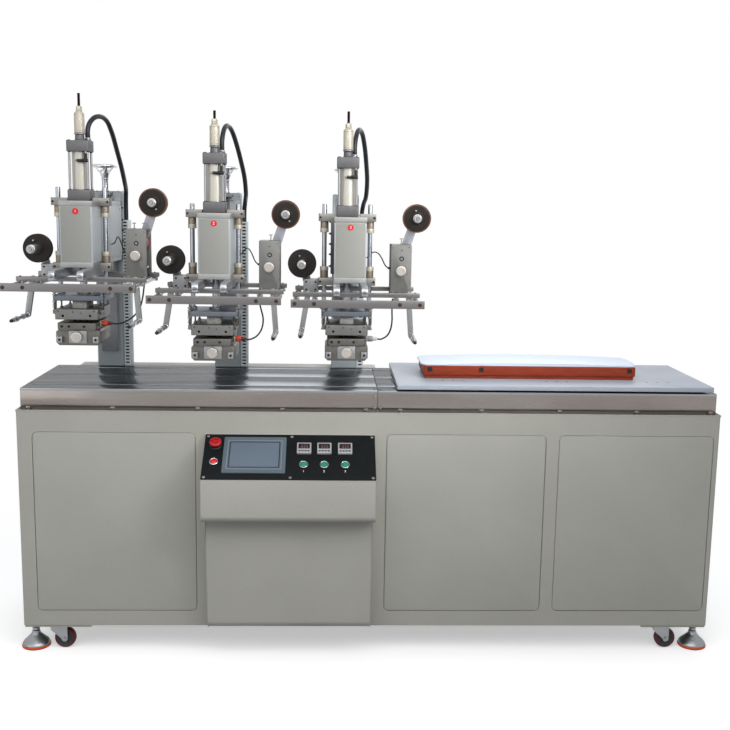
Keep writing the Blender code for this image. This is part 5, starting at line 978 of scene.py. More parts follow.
def make_table():
    """Drilled plate on webs and shoes that run on the rails."""
    right = TABLE_LEFT + TABLE_LENGTH
    plate = slab(round_rect((TABLE_LEFT, TABLE_FRONT), (right, TABLE_BACK), 0.004, 4),
                 TABLE_LOW, TABLE_HIGH, 0.0014, 3)
    rim = turned([(0.0034, -0.0006), (0.0048, -0.0006), (0.0046, 0.0002), (0.0034, 0.0001)], 24,
                 0.0002, closed=True)
    places = [(group + shift, HOLE_V, TABLE_HIGH) for group in HOLE_GROUPS
              for shift in (-HOLE_PITCH, 0, HOLE_PITCH)]
    # Dark discs in the drilled holes: painted shade.
    on_table("table_plate", "shuttle_table", [
        ("table", [plate]), ("screw", copies(rim, places)),
        ("hole", copies(well(0.0035, 0.0001, 0.00005, sink=0.0006), places))], True)
    under = []
    left, right = TABLE_LEFT + WEB_INSET, right - WEB_INSET
    for middle in RAIL_MIDDLES:
        for low, high in ((0.0, TABLE_LOW + 0.0005), (SHOE_HIGH, 0.001)):
            under.append(box((left, middle - WEB_HALF, low), (right, middle + WEB_HALF, high),
                             0.0008))
        for start in (left, right - SHOE_LENGTH):
            under.append(box((start, middle - SHOE_HALF, SHOE_LOW),
                             (start + SHOE_LENGTH, middle + SHOE_HALF, SHOE_HIGH), 0.0015))
    on_table("table_shoes", "shuttle_table", [("steel", under)])


def make_fixture():
    """Layered board on its plinth, three clips, and the arched blank on top."""
    right = BOARD_LEFT + BOARD_LENGTH
    back = BOARD_FRONT + BOARD_DEPTH
    plinth = box((BOARD_LEFT + 0.006, BOARD_FRONT + 0.006, BOARD_LOW),
                 (right - 0.006, back - 0.006, BOARD_LOW + 0.013), 0.0015)
    board = slab(round_rect((BOARD_LEFT, BOARD_FRONT), (right, back), 0.006, 5),
                 BOARD_LOW + 0.012, BOARD_HIGH, 0.0026, 4)
    on_table("laminate_board", "fixture_board", [("board", [plinth, board])], True)
    clips, places = [], []
    for x in (BOARD_LEFT + share * BOARD_LENGTH for share in CLIP_SHARES):
        hook = np.add((BOARD_FRONT, BOARD_HIGH), (
            (0.001, -0.0195), (-0.0036, -0.0195), (-0.0036, -0.007), (-0.0012, -0.0045),
            (0.001, -0.0045)))
        clips.append(along_x(hook[::-1], x - CLIP_HALF, x + CLIP_HALF, 0.0006))
        places.append((x - 0.003, BOARD_FRONT - 0.0032, BOARD_HIGH - 0.0125))
    heads = screws(places, FRONT, 0.0028, 0.0006)
    on_table("board_clips", "fixture_board", [("black", clips), ("dark_screw", heads)])
    u = np.linspace(0, 1, BLANK_COLUMNS)[:, None]
    w = np.linspace(0, 1, BLANK_ROWS)[None, :]
    low_x, high_x = BOARD_LEFT - BLANK_OVERHANG, right + BLANK_OVERHANG
    crest = BLANK_RIM + BLANK_CROWN * np.sin(math.pi * u) ** 0.8
    sag = 1 - 0.45 * np.abs(2 * w - 1) ** 3.2
    x = low_x + (high_x - low_x) * u + 0 * w
    inset = 1 - np.minimum(u, 1 - u) * (high_x - low_x) / BLANK_CORNER
    squeeze = BLANK_CORNER * (1 - np.sqrt(1 - np.clip(inset, 0, 1) ** 2))
    half = BOARD_DEPTH / 2
    y = BOARD_FRONT + 0.006 + half + (half - squeeze) * (2 * w - 1)
    top = BOARD_HIGH + 0.0003 + crest * sag
    rim = BOARD_HIGH + 0.0003 + 0 * top
    rings = [np.stack([np.concatenate([x[i], x[i, ::-1]]), np.concatenate([y[i], y[i, ::-1]]),
                       np.concatenate([rim[i], top[i, ::-1]])], -1) for i in range(BLANK_COLUMNS)]
    on_table("arched_blank", "work_blank", [("blank", [skin(rings)])], True, 50)


# Stations: shapes that several pieces share

def finer(outline, spacing):
    """The same closed outline with points added along its straight runs."""
    outline = np.asarray(outline, float)
    rows = []
    for start, end in zip(outline, np.roll(outline, -1, 0)):
        count = max(1, int(np.linalg.norm(end - start) / spacing))
        rows.append(start + (end - start) * (np.arange(count) / count)[:, None])
    return np.concatenate(rows)


def pierced(outline, middle, radius, low, high, edge=0.0008):
    """Plate with a round hole: rings climb its outside and come back down the hole."""
    outline = finer(outline, 0.5 * radius)
    away = outline - np.asarray(middle, float)
    hole = middle + radius * away / np.linalg.norm(away, axis=1, keepdims=True)
    wide = middle + (radius + edge) * away / np.linalg.norm(away, axis=1, keepdims=True)
    drawn = drawn_in(outline, edge)
    rows = ((drawn, low), (outline, low + edge), (outline, high - edge), (drawn, high),
            (wide, high), (hole, high - edge), (hole, low + edge), (wide, low))
    return skin([np.column_stack([line, np.full(len(line), level)]) for line, level in rows],
                closed=True)


def sleeve(outer, inner, low, high, sides=32, reach=0.0006):
    """Plain round sleeve about Z."""
    return turned([(inner, low), (outer, low), (outer, high), (inner, high)], sides, reach,
                  closed=True)


def knob(radius, standoff, thick, ridges=36):
    """Turned knob along Z: a knurled band whose radius dips between ridges, and a dished face."""
    count = ridges * 3
    angle = np.arange(count) * TURN / count
    ring = np.stack([np.cos(angle), np.sin(angle)], -1)
    dip = np.where(np.arange(count) % 3 == 0, 0.965, 1.0)
    top = standoff + thick
    rows = ((0.5 * radius, standoff, 0), (radius - 0.0014, standoff, 0),
            (radius, standoff + 0.0012, 0), (radius, standoff + 0.003, 0),
            (radius, standoff + 0.0034, 1), (radius, top - 0.0052, 1), (radius, top - 0.0048, 0),
            (radius, top - 0.0018, 0), (radius - 0.0005, top - 0.0007, 0),
            (radius - 0.0018, top, 0), (0.66 * radius, top, 0), (0.62 * radius, top - 0.0007, 0),
            (0.16 * radius, top - 0.0007, 0), (0.12 * radius, top - 0.0016, 0))
    rings = [np.column_stack([ring * (size * (1 + share * (dip - 1)))[:, None],
                              np.full(count, level)]) for size, level, share in rows]
    return skin(rings)


def spoke(path, widths, thick, angle):
    """Flat arm along a path of (radius, height), turned about Z to an angle."""
    path = np.asarray(path, float)
    way = np.gradient(path, axis=0)
    way /= np.linalg.norm(way, axis=1, keepdims=True)
    normal = np.stack([-way[:, 1], way[:, 0]], -1)
    cut = round_rect((-0.5, -0.5), (0.5, 0.5), 0.35, 3)
    rings = []
    for point, up, width in zip(path, normal, widths):
        line = point + up * (cut[:, 1:] * thick)
        rings.append(np.column_stack([line[:, 0], cut[:, 0] * width, line[:, 1]]))
    c, s = math.cos(angle), math.sin(angle)
    return moved(skin(rings), HERE, ((c, -s, 0), (s, c, 0), (0, 0, 1)))


RAM_V = 0.08


class Station:
    """One stamping station: its number, and where its column, its head and its ram stand."""

    def __init__(self, index):
        self.index = index
        self.column = np.array((STATIONS[index], BED_FRONT, BED_TOP))
        self.head = self.column + (0, 0, LIFTS[index])
        self.ram = self.head + (0, RAM_V, SETTINGS[index])

    def name(self, stem):
        """A stem with the station's number, as its nodes, bodies and pieces are named."""
        return "%s_%d" % (stem, self.index + 1)

    def add(self, stem, body, node, at, groups, stands_for=False):
        """A piece of this station that rides on a body; with stands_for it replaces its node."""
        node = self.name(node)
        body = body if body == "base" else self.name(body)
        return piece(self.name(stem), body, at, groups, [node] if stands_for else ())


# Air hose and cables

GLAND_X, GLAND_V, GLAND_TOP = 0.022, 0.1, 0.8086
HOSE_RADIUS = 0.0083
HOSE_ROUTE = ((GLAND_X, GLAND_V, GLAND_TOP), (GLAND_X, GLAND_V, 0.8263), (0.0228, 0.1018, 0.8418),
              (0.0258, 0.1105, 0.8629), (0.0306, 0.1284, 0.8821), (0.0366, 0.1523, 0.8933),
              (0.043, 0.1786, 0.8946), (0.0487, 0.2014, 0.8872), (0.0538, 0.2186, 0.8742),
              (0.062, 0.256, 0.837), (0.0695, 0.306, 0.786), (0.076, 0.37, 0.725),
              (0.075, 0.44, 0.668), (0.068, 0.497, 0.64), (0.0625, 0.52, 0.598),
              (0.0625, 0.52, 0.53), (0.0625, 0.52, 0.464))
HOSE_LEANS = ((0.015, -0.014), (-0.006, -0.002), (0.0, 0.0))
HOSE_WINDOW = (0, 0, 0.03, 0.2, 0.48, 0.78, 0.97, 1, 0.95, 0.75, 0.4, 0.1, 0, 0, 0, 0, 0)
HEATER_CABLE_RADIUS, FEED_CABLE_RADIUS = 0.0027, 0.0021
HOSE_SPACING, CABLE_SPACING = 0.012, 0.006
SETTING_TOP, SETTING_FADE = 0.3, 0.12
HEATER_ROUTES = (
    ((0.1065, 0.02, 0.174), (0.122, 0.019, 0.173), (0.15, 0.013, 0.18), (0.182, 0.004, 0.204),
     (0.204, 0.000, 0.238), (0.213, 0.004, 0.276), (0.216, 0.01, 0.306), (0.2185, 0.014, 0.326)),
    ((0.1065, 0.02, 0.174), (0.12, 0.019, 0.172), (0.144, 0.013, 0.184), (0.162, 0.004, 0.21),
     (0.168, -0.006, 0.246), (0.16, -0.01, 0.284), (0.1545, -0.004, 0.308),
     (0.1555, 0.002, 0.326)),
    ((0.1065, 0.02, 0.174), (0.118, 0.017, 0.173), (0.138, 0.008, 0.186), (0.15, 0.000, 0.212),
     (0.154, -0.01, 0.246), (0.153, -0.014, 0.282), (0.1535, -0.006, 0.306),
     (0.1555, 0.002, 0.326)))
SENSOR_ROUTE = ((0.15, 0.1, 0.4235), (0.142, 0.101, 0.425), (0.132, 0.107, 0.435),
                (0.123, 0.12, 0.454), (0.111, 0.145, 0.471), (0.097, 0.18, 0.474),
                (0.084, 0.22, 0.462), (0.073, 0.243, 0.45), (0.061, 0.25, 0.445))


def make_cords(station):
    """Air hose over the head into the duct, heater cable up the frame, and the feed box's cable."""
    at = station.head
    route = np.array(HOSE_ROUTE)
    route[:, [0, 2]] += np.outer(HOSE_WINDOW, HOSE_LEANS[station.index])
    path = smooth_line(route, HOSE_SPACING)
    hose = station.add("air_hose_rubber", "head", "air_hose", at,
                       [("hose", [tube(path, HOSE_RADIUS, 20)])], True)
    route = np.array(HEATER_ROUTES[station.index])
    share = np.clip((SETTING_TOP - route[:, 2]) / SETTING_FADE, 0, 1)
    route[:, 2] += SETTINGS[station.index] * share
    path = smooth_line(route, CABLE_SPACING)
    cable = station.add("heater_cable", "head", "die_head", at,
                        [("cable", [tube(path, HEATER_CABLE_RADIUS)])])
    cable.parent = None
    station.name("ram")
    station.name("head")
    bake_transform(cable)
    path = smooth_line(SENSOR_ROUTE, CABLE_SPACING)
    wire = station.add("feed_cable", "head", "foil_frame", at,
                       [("cable", [tube(path, FEED_CABLE_RADIUS)])])


# Column, dovetail guide, screw lug and slotted duct

COLUMN_FRONT, COLUMN_HALF, COLUMN_HIGH = 0.482, 0.05, 0.668
COLUMN_BACK = COLUMN_FRONT + 2 * COLUMN_HALF
SCREW_V = 0.452
DUCT_LEFT, DUCT_RIGHT, DUCT_FRONT, DUCT_BACK = 0.05, 0.075, 0.49, 0.55
DUCT_FOOT, DUCT_HIGH = 0.0004, 0.56
DUCT_PITCH, DUCT_FINGER = 0.0125, 0.007


def make_column(station):
    """Square post with its lid, dovetail guide, screw lug and rear plate, and the wire duct."""
    post = box((-COLUMN_HALF, COLUMN_FRONT, 0.0004),
               (COLUMN_HALF, COLUMN_BACK, COLUMN_HIGH - 0.003), 0.004, 4)
    lid = box((-0.0492, COLUMN_FRONT + 0.0008, COLUMN_HIGH - 0.0036),
              (0.0492, COLUMN_BACK - 0.0008, COLUMN_HIGH), 0.0014, 3)
    guide = slab([(-0.022, 0.4825), (-0.03, 0.47), (0.03, 0.47), (0.022, 0.4825)], 0.06, 0.64,
                 0.0007)
    lug = pierced(round_rect((-0.022, 0.43), (0.022, COLUMN_FRONT + 0.001), 0.003), (0, SCREW_V),
                  0.0084, 0.652, 0.664, 0.001)
    fixing = screws([(0, 0.4712, h) for h in np.arange(0.09, 0.64, 0.105)], FRONT, 0.0048, 0.001)
    plate_back = COLUMN_BACK + 0.0012
    plate = box((-0.036, COLUMN_BACK - 0.0002, 0.04), (0.036, plate_back, 0.3), 0.0006)
    heads, slots = gathered([
        pan_screws([(sx * 0.04, COLUMN_FRONT + COLUMN_HALF + sy * 0.04, COLUMN_HIGH)
                    for sx in (-1, 1) for sy in (-1, 1)], UP, 0.003),
        pan_screws([(x, plate_back, h) for x in (-0.03, 0.03) for h in (0.05, 0.29)], BACK, 0.003)])
    station.add("column_post", "base", "column", station.column, [
        ("column_paint", [post, lid, plate]), ("steel", [guide, lug]), ("dark_screw", fixing),
        ("screw", heads), ("hole", slots)], True)
    left, right = DUCT_LEFT + 0.001, DUCT_RIGHT - 0.0012
    walls = [box((DUCT_LEFT, DUCT_FRONT, DUCT_FOOT), (left + 0.0004, DUCT_BACK, DUCT_HIGH),
                 0.0004, 1),
             box((0.0734, DUCT_FRONT - 0.0003, DUCT_FOOT),
                 (DUCT_RIGHT, DUCT_BACK + 0.0003, DUCT_HIGH), 0.0005),
             box((left, 0.4898, 0.002), (0.056, 0.4914, DUCT_HIGH), 0.0003, 1),
             box((0.0692, 0.4898, 0.002), (right, 0.4914, DUCT_HIGH), 0.0003, 1),
             box((left, DUCT_FRONT, 0.554), (right, 0.4914, DUCT_HIGH), 0.0003, 1),
             box((DUCT_LEFT, DUCT_FRONT, DUCT_FOOT), (0.0745, DUCT_BACK, 0.0024), 0.0004, 1)]
    for row in range(int((DUCT_HIGH - 0.004) / DUCT_PITCH)):
        low = 0.004 + row * DUCT_PITCH
        walls += [box((left, front, low), (right, front + 0.0016, low + DUCT_FINGER), 0.0004, 1)
                  for front in (DUCT_FRONT, DUCT_BACK - 0.0016)]
    # Two dark sheets just inside the duct's walls: painted shade seen through the slots.
    shade_liners = [box((0.0512, front, 0.003), (0.0736, front + 0.0006, 0.556), 0.0002, 1)
              for front in (0.4924, 0.5472)]
    station.add("wire_duct", "base", "column", station.column, [("duct", walls), ("hole", shade_liners)])


# Handwheel, from the screw's axis at the bed's top

RIM_RADIUS, RIM_TUBE, RIM_HIGH = 0.0395, 0.0062, 0.759


def make_handwheel(station):
    """Dished rim on three arms, turned hub and collar, and the lifting screw below."""
    rim = arc_points((RIM_RADIUS, RIM_HIGH), RIM_TUBE, 0, TURN * 15 / 16, 15)
    hub = [(0.006, 0.715), (0.0125, 0.716), (0.015, 0.723), (0.0178, 0.733), (0.0178, 0.74),
           (0.013, 0.7462), (0.006, 0.747)]
    shaft = [(0.007, 0.6645), (0.0135, 0.6645), (0.0135, 0.672), (0.0116, 0.6735), (0.0116, 0.708),
             (0.0126, 0.71), (0.0126, 0.715), (0.01, 0.7165), (0.006, 0.7165)]
    path = [(0.01, 0.7335), (0.017, 0.735), (0.024, 0.7405), (0.031, 0.749), (0.0375, 0.757)]
    spokes = [spoke(path, (0.015, 0.012, 0.01, 0.0096, 0.011), 0.0046, TURN * k / 3 + 0.9)
              for k in range(3)]
    station.add("lifting_wheel", "handwheel", "handwheel", station.column + (0, SCREW_V, 0), [
        ("chrome", [turned(rim, 56, 0, closed=True), turned(hub, 36, 0.0012)] + spokes),
        ("bright", [turned(shaft, 36, 0.0006)]),
        ("screw", [moved(hex_nut(0.0072, 0.0052), (0, 0, 0.7466))]),
        ("steel", [thread((0, 0, 0.665), (0, 0, 0.4055), 0.0078, 0.003, 20)])], True)


# Head housing

COVER_HALF, COVER_FRONT, COVER_BACK = 0.0535, -0.046, 0.436
COVER_SHIFT = 0.009
NOSE_BACK = COVER_FRONT + 0.034
HEAD_LOW, HEAD_HIGH, PLATE = 0.38, 0.598, 0.017
PLATE_BACK = 0.14
EAR_FRONT, EAR_BACK, EAR_HALF, EAR_THICK = 0.058, 0.102, 0.098, 0.026
EAR_ROOT, EAR_BOLT_X = 0.042, 0.0915
EAR_LOWS = (0.364, 0.582)
ROD_X, BUSH_RADIUS = 0.078, 0.0145
BUSHES = ((0.544, 0.5822, 0.551), (0.3898, 0.428, 0.421))
CARRIAGE_HALF, CARRIAGE_BACK, TAIL_V = 0.056, 0.4812, 0.4696
GIB_V, GIB_LEVELS = 0.462, (0.405, 0.45, 0.489, 0.528, 0.573)
BADGE_H = 0.564


def clamp_ear(side, low, high):
    """Clamping ear: a rounded block round the guide rod's bore, slit from its end to the bore."""
    gap = 0.0007
    bore = 0.0092
    lean = math.asin(gap / bore)
    corner = 0.004
    right = np.concatenate([
        [(EAR_HALF, RAM_V + gap)],
        arc_points((EAR_HALF - corner, EAR_BACK - corner), corner, 0, TURN / 4, 4),
        [(EAR_ROOT, EAR_BACK), (EAR_ROOT, EAR_FRONT)],
        arc_points((EAR_HALF - corner, EAR_FRONT + corner), corner, -TURN / 4, 0, 4),
        [(EAR_HALF, RAM_V - gap)],
        arc_points((ROD_X, RAM_V), bore, -lean, lean - TURN, 28)])
    if side < 0:
        right = (right * (-1, 1))[::-1]
    return slab(right, low, high, 0.0006)


def make_housing(station):
    """Cover, end plates with their clamping ears and bushes, carriage, and the number badge."""
    at = station.head
    middle = at + (COVER_SHIFT, 0, 0)
    low, high = HEAD_LOW + PLATE, HEAD_HIGH - PLATE
    inner = COVER_HALF - 0.0012
    front, sides = (
        slab(round_rect((-half, start), (half, end), radius, steps), low - 0.0004, high + 0.0004,
             0.0004)
        for half, start, end, radius, steps in ((COVER_HALF, COVER_FRONT, NOSE_BACK, 0.003, 4),
                                                (inner, NOSE_BACK - 0.001, COVER_BACK, 0.0015, 3)))
    face = along_y(round_rect((-COVER_HALF + 0.005, low + 0.0024),
                              (COVER_HALF - 0.005, high - 0.0024), 0.0018),
                   COVER_FRONT - 0.0016, COVER_FRONT + 0.0003, 0.0007)
    lids = [box((-COVER_HALF + 0.003, PLATE_BACK - 0.001, foot),
                (COVER_HALF - 0.003, COVER_BACK - 0.003, top), 0.0012)
            for foot, top in ((HEAD_LOW + 0.0006, low), (high, HEAD_HIGH - 0.0006))]
    heads, slots = gathered(
        pan_screws([(x, v, h) for v in (-0.03, 0.15, 0.4) for h in (0.41, 0.568)], way, 0.0028)
        for x, way in ((-inner, LEFT), (inner, RIGHT)))
    # Sides and lids take the lighter, bluer enamel as a painted reflection; the front face takes
    # the cover's own enamel.
    station.add("head_cover", "head", "head_housing", middle, [
        ("head_paint", [face]), ("side_reflection_paint", [front, sides] + lids),
        ("screw", heads), ("hole", slots)], True)
    half = COVER_HALF + 0.0012
    outline = round_rect((-half, COVER_FRONT - 0.0022), (half, PLATE_BACK), 0.0025)
    plates = [moved(slab(outline, foot, foot + PLATE, 0.001, 3), (COVER_SHIFT, 0, 0))
              for foot in (HEAD_LOW, high)]
    ears, places = [], []
    for side in (-1, 1):
        for foot in EAR_LOWS:
            ears.append(clamp_ear(side, foot, foot + EAR_THICK))
            places.append((side * EAR_BOLT_X, EAR_FRONT, foot + EAR_THICK / 2))
    bolts = screws(places, FRONT, 0.0036, 0.0026)
    bolts += screws([(COVER_SHIFT + sx * 0.045, v, HEAD_HIGH - 0.0022) for sx in (-1, 1)
                     for v in (-0.034, 0.124)], UP, 0.0046, 0.0026)
    station.add("head_plates", "head", "head_housing", at, [
        ("plate_cap", plates), ("ear_metal", ears), ("dark_screw", bolts)])
    axes = [(x, RAM_V, 0) for x in (-ROD_X, ROD_X)]
    bushes = [moved(sleeve(BUSH_RADIUS - 0.0006, 0.0083, foot, top), axis)
              for axis in axes for foot, top, _ in BUSHES]
    collars = [moved(sleeve(BUSH_RADIUS, 0.012, lip - 0.007, lip + 0.007, 32, 0.001), axis)
               for axis in axes for _, _, lip in BUSHES]
    station.add("guide_bushes", "head", "head_housing", at, [
        ("bush", bushes), ("sleeve", collars)])
    bore = 0.0088
    right = [(CARRIAGE_HALF, 0.4067), (CARRIAGE_HALF, CARRIAGE_BACK), (0.0226, CARRIAGE_BACK),
             (0.0304, TAIL_V), (bore, TAIL_V)]
    outline = np.concatenate([
        [(-CARRIAGE_HALF, CARRIAGE_BACK), (-CARRIAGE_HALF, 0.4067)], right,
        arc_points((0, SCREW_V), bore, 0, -TURN / 2, 16),
        [(-x, v) for x, v in right[:1:-1]]])
    carriage = slab(outline, HEAD_LOW - 0.0008, HEAD_HIGH + 0.0008)
    gibs = []
    for side, way in ((-1, LEFT), (1, RIGHT)):
        for h in GIB_LEVELS:
            foot = (side * CARRIAGE_HALF, GIB_V, h)
            gibs.append(aimed(hex_nut(0.0052, 0.0034), foot, way))
            gibs.append(drum(foot, (side * (CARRIAGE_HALF + 0.0072), GIB_V, h), 0.0026, 12))
    station.add("head_carriage", "head", "head_housing", at, [
        ("cap_metal", [carriage]), ("dark_screw", gibs)])
    badge = aimed(turned([(0.0102, 0), (0.0102, 0.0006), (0.0096, 0.0011)], 40, 0.0003),
                  (0, COVER_FRONT - 0.0015, BADGE_H), FRONT)
    digit = aimed(figure(str(station.index + 1), 0.0135, 0.0003),
                  (0, COVER_FRONT - 0.0028, BADGE_H), FRONT)
    station.add("number_badge", "head", "head_housing", middle, [
        ("badge", [badge]), ("white", [digit])])


# Air cylinder, from the ram's axis at the cylinder's foot

CYLINDER_FOOT = 0.5983
CAP_HALF, CAP_HIGH, CYLINDER_TOP = 0.0375, 0.036, 0.198
TIE_PLACE = 0.0295
PORT_LEVELS = (0.018, CYLINDER_TOP - 0.018)
VALVE_Y, VALVE_H, VALVE_POST = -0.034, 0.132, 0.026


def make_cylinder(station):
    """Two caps, barrel, tie rods with nuts, neck, ports, the speed valve and the hose fitting."""
    at = station.head + (0, RAM_V, CYLINDER_FOOT)
    upper = CYLINDER_TOP - CAP_HIGH
    caps = [slab(round_rect((-CAP_HALF, -CAP_HALF), (CAP_HALF, CAP_HALF), 0.0045, 5), low,
                 low + CAP_HIGH, 0.0016, 3) for low in (0.0, upper)]
    neck = turned([(0.0086, 0.1975), (0.0178, 0.1975), (0.0178, 0.2006), (0.0155, 0.2022),
                   (0.0155, 0.215), (0.0138, 0.2178), (0.0086, 0.2178)], 40, closed=True)
    corners = [(sx * TIE_PLACE, sy * TIE_PLACE) for sx, sy in ((1, 1), (-1, 1), (-1, -1), (1, -1))]
    rods = [drum((x, y, 0.03), (x, y, 0.17), 0.004, 20) for x, y in corners]
    nuts = screws([(x, y, CYLINDER_TOP - 0.0008) for x, y in corners], UP, 0.0052, 0.0028)
    nuts += [moved(turned([(0.0052, h), (0.0052, h + 0.003)], 20, 0.0006), (x, y, 0))
             for x, y in corners for h in (CAP_HIGH - 0.0004, upper - 0.0026)]
    barrel = turned([(0.0278, CAP_HIGH - 0.001), (0.0278, upper + 0.001)], 64, 0)
    rings = [sleeve(0.0287, 0.027, h, h + 0.003, 64) for h in (CAP_HIGH - 0.0005, upper - 0.0025)]
    mouths = [(CAP_HALF - 0.0004, 0, h) for h in PORT_LEVELS]
    port = turned([(0.0046, 0), (0.0062, 0), (0.0062, 0.0011), (0.0046, 0.0011)], 24, 0.0003,
                  closed=True)
    ports = copies(port, mouths, RIGHT)
    # Dark discs in the port mouths: painted shade of the ports' bores.
    port_shades = copies(turned([(0.0047, 0), (0.0047, 0.0007)], 24, 0), mouths, RIGHT)
    station.add("cylinder_body", "head", "air_cylinder", at, [
        ("cap_metal", caps + [neck]), ("barrel", [barrel]), ("zinc", rods + rings),
        ("dark_screw", nuts), ("screw", ports), ("hole", port_shades)], True)
    line = [(x, VALVE_Y, VALVE_H) for x in (-0.0105, -0.004, 0.012, 0.0165, 0.033)]
    valve = [drum(line[1], line[2], 0.0048, 20), aimed(hex_nut(0.0066, 0.005), line[2], RIGHT),
             drum(line[3], line[4], 0.006, 24, 0.001),
             drum((VALVE_POST, VALVE_Y, VALVE_H - 0.004), (VALVE_POST, VALVE_Y, 0.156), 0.0052, 24,
                  0.001),
             drum_y(0.0005, VALVE_H, -0.0345, -0.026, 0.005, 20)]
    tips = [drum(line[1], line[0], 0.003, 16),
            drum((VALVE_POST, VALVE_Y, 0.155), (VALVE_POST, VALVE_Y, 0.1625), 0.0036, 16)]
    station.add("speed_valve", "head", "air_cylinder", at, [("black", valve), ("screw", tips)])
    place = (GLAND_X, GLAND_V - RAM_V, CYLINDER_TOP)
    fitting = [moved(hex_nut(0.0122, 0.0056), np.add(place, (0, 0, -0.0003))),
               moved(sleeve(0.0102, 0.0062, 0.005, 0.0105, 28, 0.0008), place)]
    clip = moved(sleeve(0.0086, 0.007, 0.0118, 0.0215, 28, 0.001), place)
    station.add("hose_fitting", "head", "air_cylinder", at, [("zinc", fitting), ("black", [clip])])


# Ram: press plate, guide posts, rods and the stroke stop above the cylinder

PRESS_LOW, PRESS_HIGH = 0.251, 0.269
POST_TOP = 0.628
STOP_FOOT, STOP_TALL, STUD_TOP = 0.8166, 0.071, 0.9365


def make_ram(station):
    """Press plate with its guide rods and piston rod, and the stroke stop above the cylinder."""
    plate = slab(round_rect((-0.086, -0.085), (0.086, 0.085), 0.01, 6), PRESS_LOW, PRESS_HIGH,
                 0.002, 3)
    under = screws([(sx * 0.03, sy * 0.045, PRESS_LOW) for sx in (-1, 1) for sy in (-1, 1)], DOWN,
                   0.0055, 0.004)
    post = turned([(0.008, PRESS_HIGH), (0.008, POST_TOP - 0.0014), (0.0066, POST_TOP)], 36, 0.0004)
    boss = turned([(0.014, PRESS_HIGH - 0.0005), (0.014, PRESS_HIGH + 0.0075),
                   (0.012, PRESS_HIGH + 0.01), (0.0082, PRESS_HIGH + 0.01)], 36, 0.0006)
    # Dark disc on each post's top: painted shade of its centre hole.
    eye = turned([(0.003, POST_TOP), (0.003, POST_TOP + 0.0002)], 16, 0)
    posts, bosses, eyes = (copies(shape, ((-ROD_X, 0, 0), (ROD_X, 0, 0)))
                           for shape in (post, boss, eye))
    rod = turned([(0.0125, PRESS_HIGH - 0.001), (0.0125, 0.42)], 40, 0)
    flange = sleeve(0.023, 0.0125, PRESS_HIGH - 0.0005, PRESS_HIGH + 0.006, 40)
    flange_bolts = screws([(0.0178 * math.cos(a), 0.0178 * math.sin(a), PRESS_HIGH + 0.0058)
                           for a in np.arange(4) * TURN / 4 + 0.4], UP, 0.0026, 0.0022)
    station.add("press_plate", "ram", "ram", station.ram, [
        ("plate_metal", [plate]), ("guide_steel", posts + [rod]), ("steel", bosses + [flange]),
        ("dark_screw", under + flange_bolts), ("hole", eyes)], True)
    ring = STOP_FOOT - SETTINGS[station.index]
    stop = ring + 0.005
    top = stop + STOP_TALL
    tail = turned([(0.0079, 0.74), (0.0079, ring + 0.001)], 32, 0)
    washer = turned([(0.015, ring), (0.0185, ring), (0.0185, ring + 0.0034), (0.016, stop),
                     (0.015, stop)], 40, 0.0005)
    body = turned([(0.015, stop - 0.0004), (0.017, stop + 0.0008), (0.017, top - 0.007),
                   (0.0118, top - 0.0006), (0.01, top)], 48, 0.0012)
    lines = [sleeve(0.0172, 0.016, h, h + 0.0012, 48, 0.0002) for h in (stop + 0.006, stop + 0.06)]
    nut = moved(hex_nut(0.0104, 0.015), (0, 0, top - 0.0004))
    cap = turned([(0.0085, top + 0.0142), (0.0085, top + 0.016), (0.0062, top + 0.0172)], 28,
                 0.0005)
    stud = thread((0, 0, top + 0.01), (0, 0, STUD_TOP), 0.0048, 0.0016, 16)
    station.add("stroke_stop", "ram", "ram", station.ram, [
        ("bright", [tail]), ("steel", [washer]), ("sleeve", [body, nut, cap]), ("bush", lines),
        ("dark_screw", [stud])])


# Die holder: hangers, heater block, slide plate, die block and heater plug

HOLDER_FRONT, HOLDER_BACK = -0.115, 0.075
HEATER_LOW, HEATER_HIGH, SLIDE_LOW, SLIDE_HIGH = 0.191, 0.226, 0.157, 0.18
DIE_INSET, LUG_X = 0.014, 0.06
ROD_HOLE_X, ROD_HOLE_H = 0.045, 0.204
SENSOR_HOLES = ((-0.012, 0.217), (0.014, 0.213), (0.058, 0.219), (-0.06, 0.219))
PLUG_PLACE = (0.0656, -0.06, 0.174)
STUD_X, STUD_Y = 0.079, -0.081
SPACER_X, SPACER_YS = 0.0655, (-0.046, 0.069)
PLUG_FINISH = (("orange", "dark_red"), ("orange", "dark_red"), ("silver", "duct"))


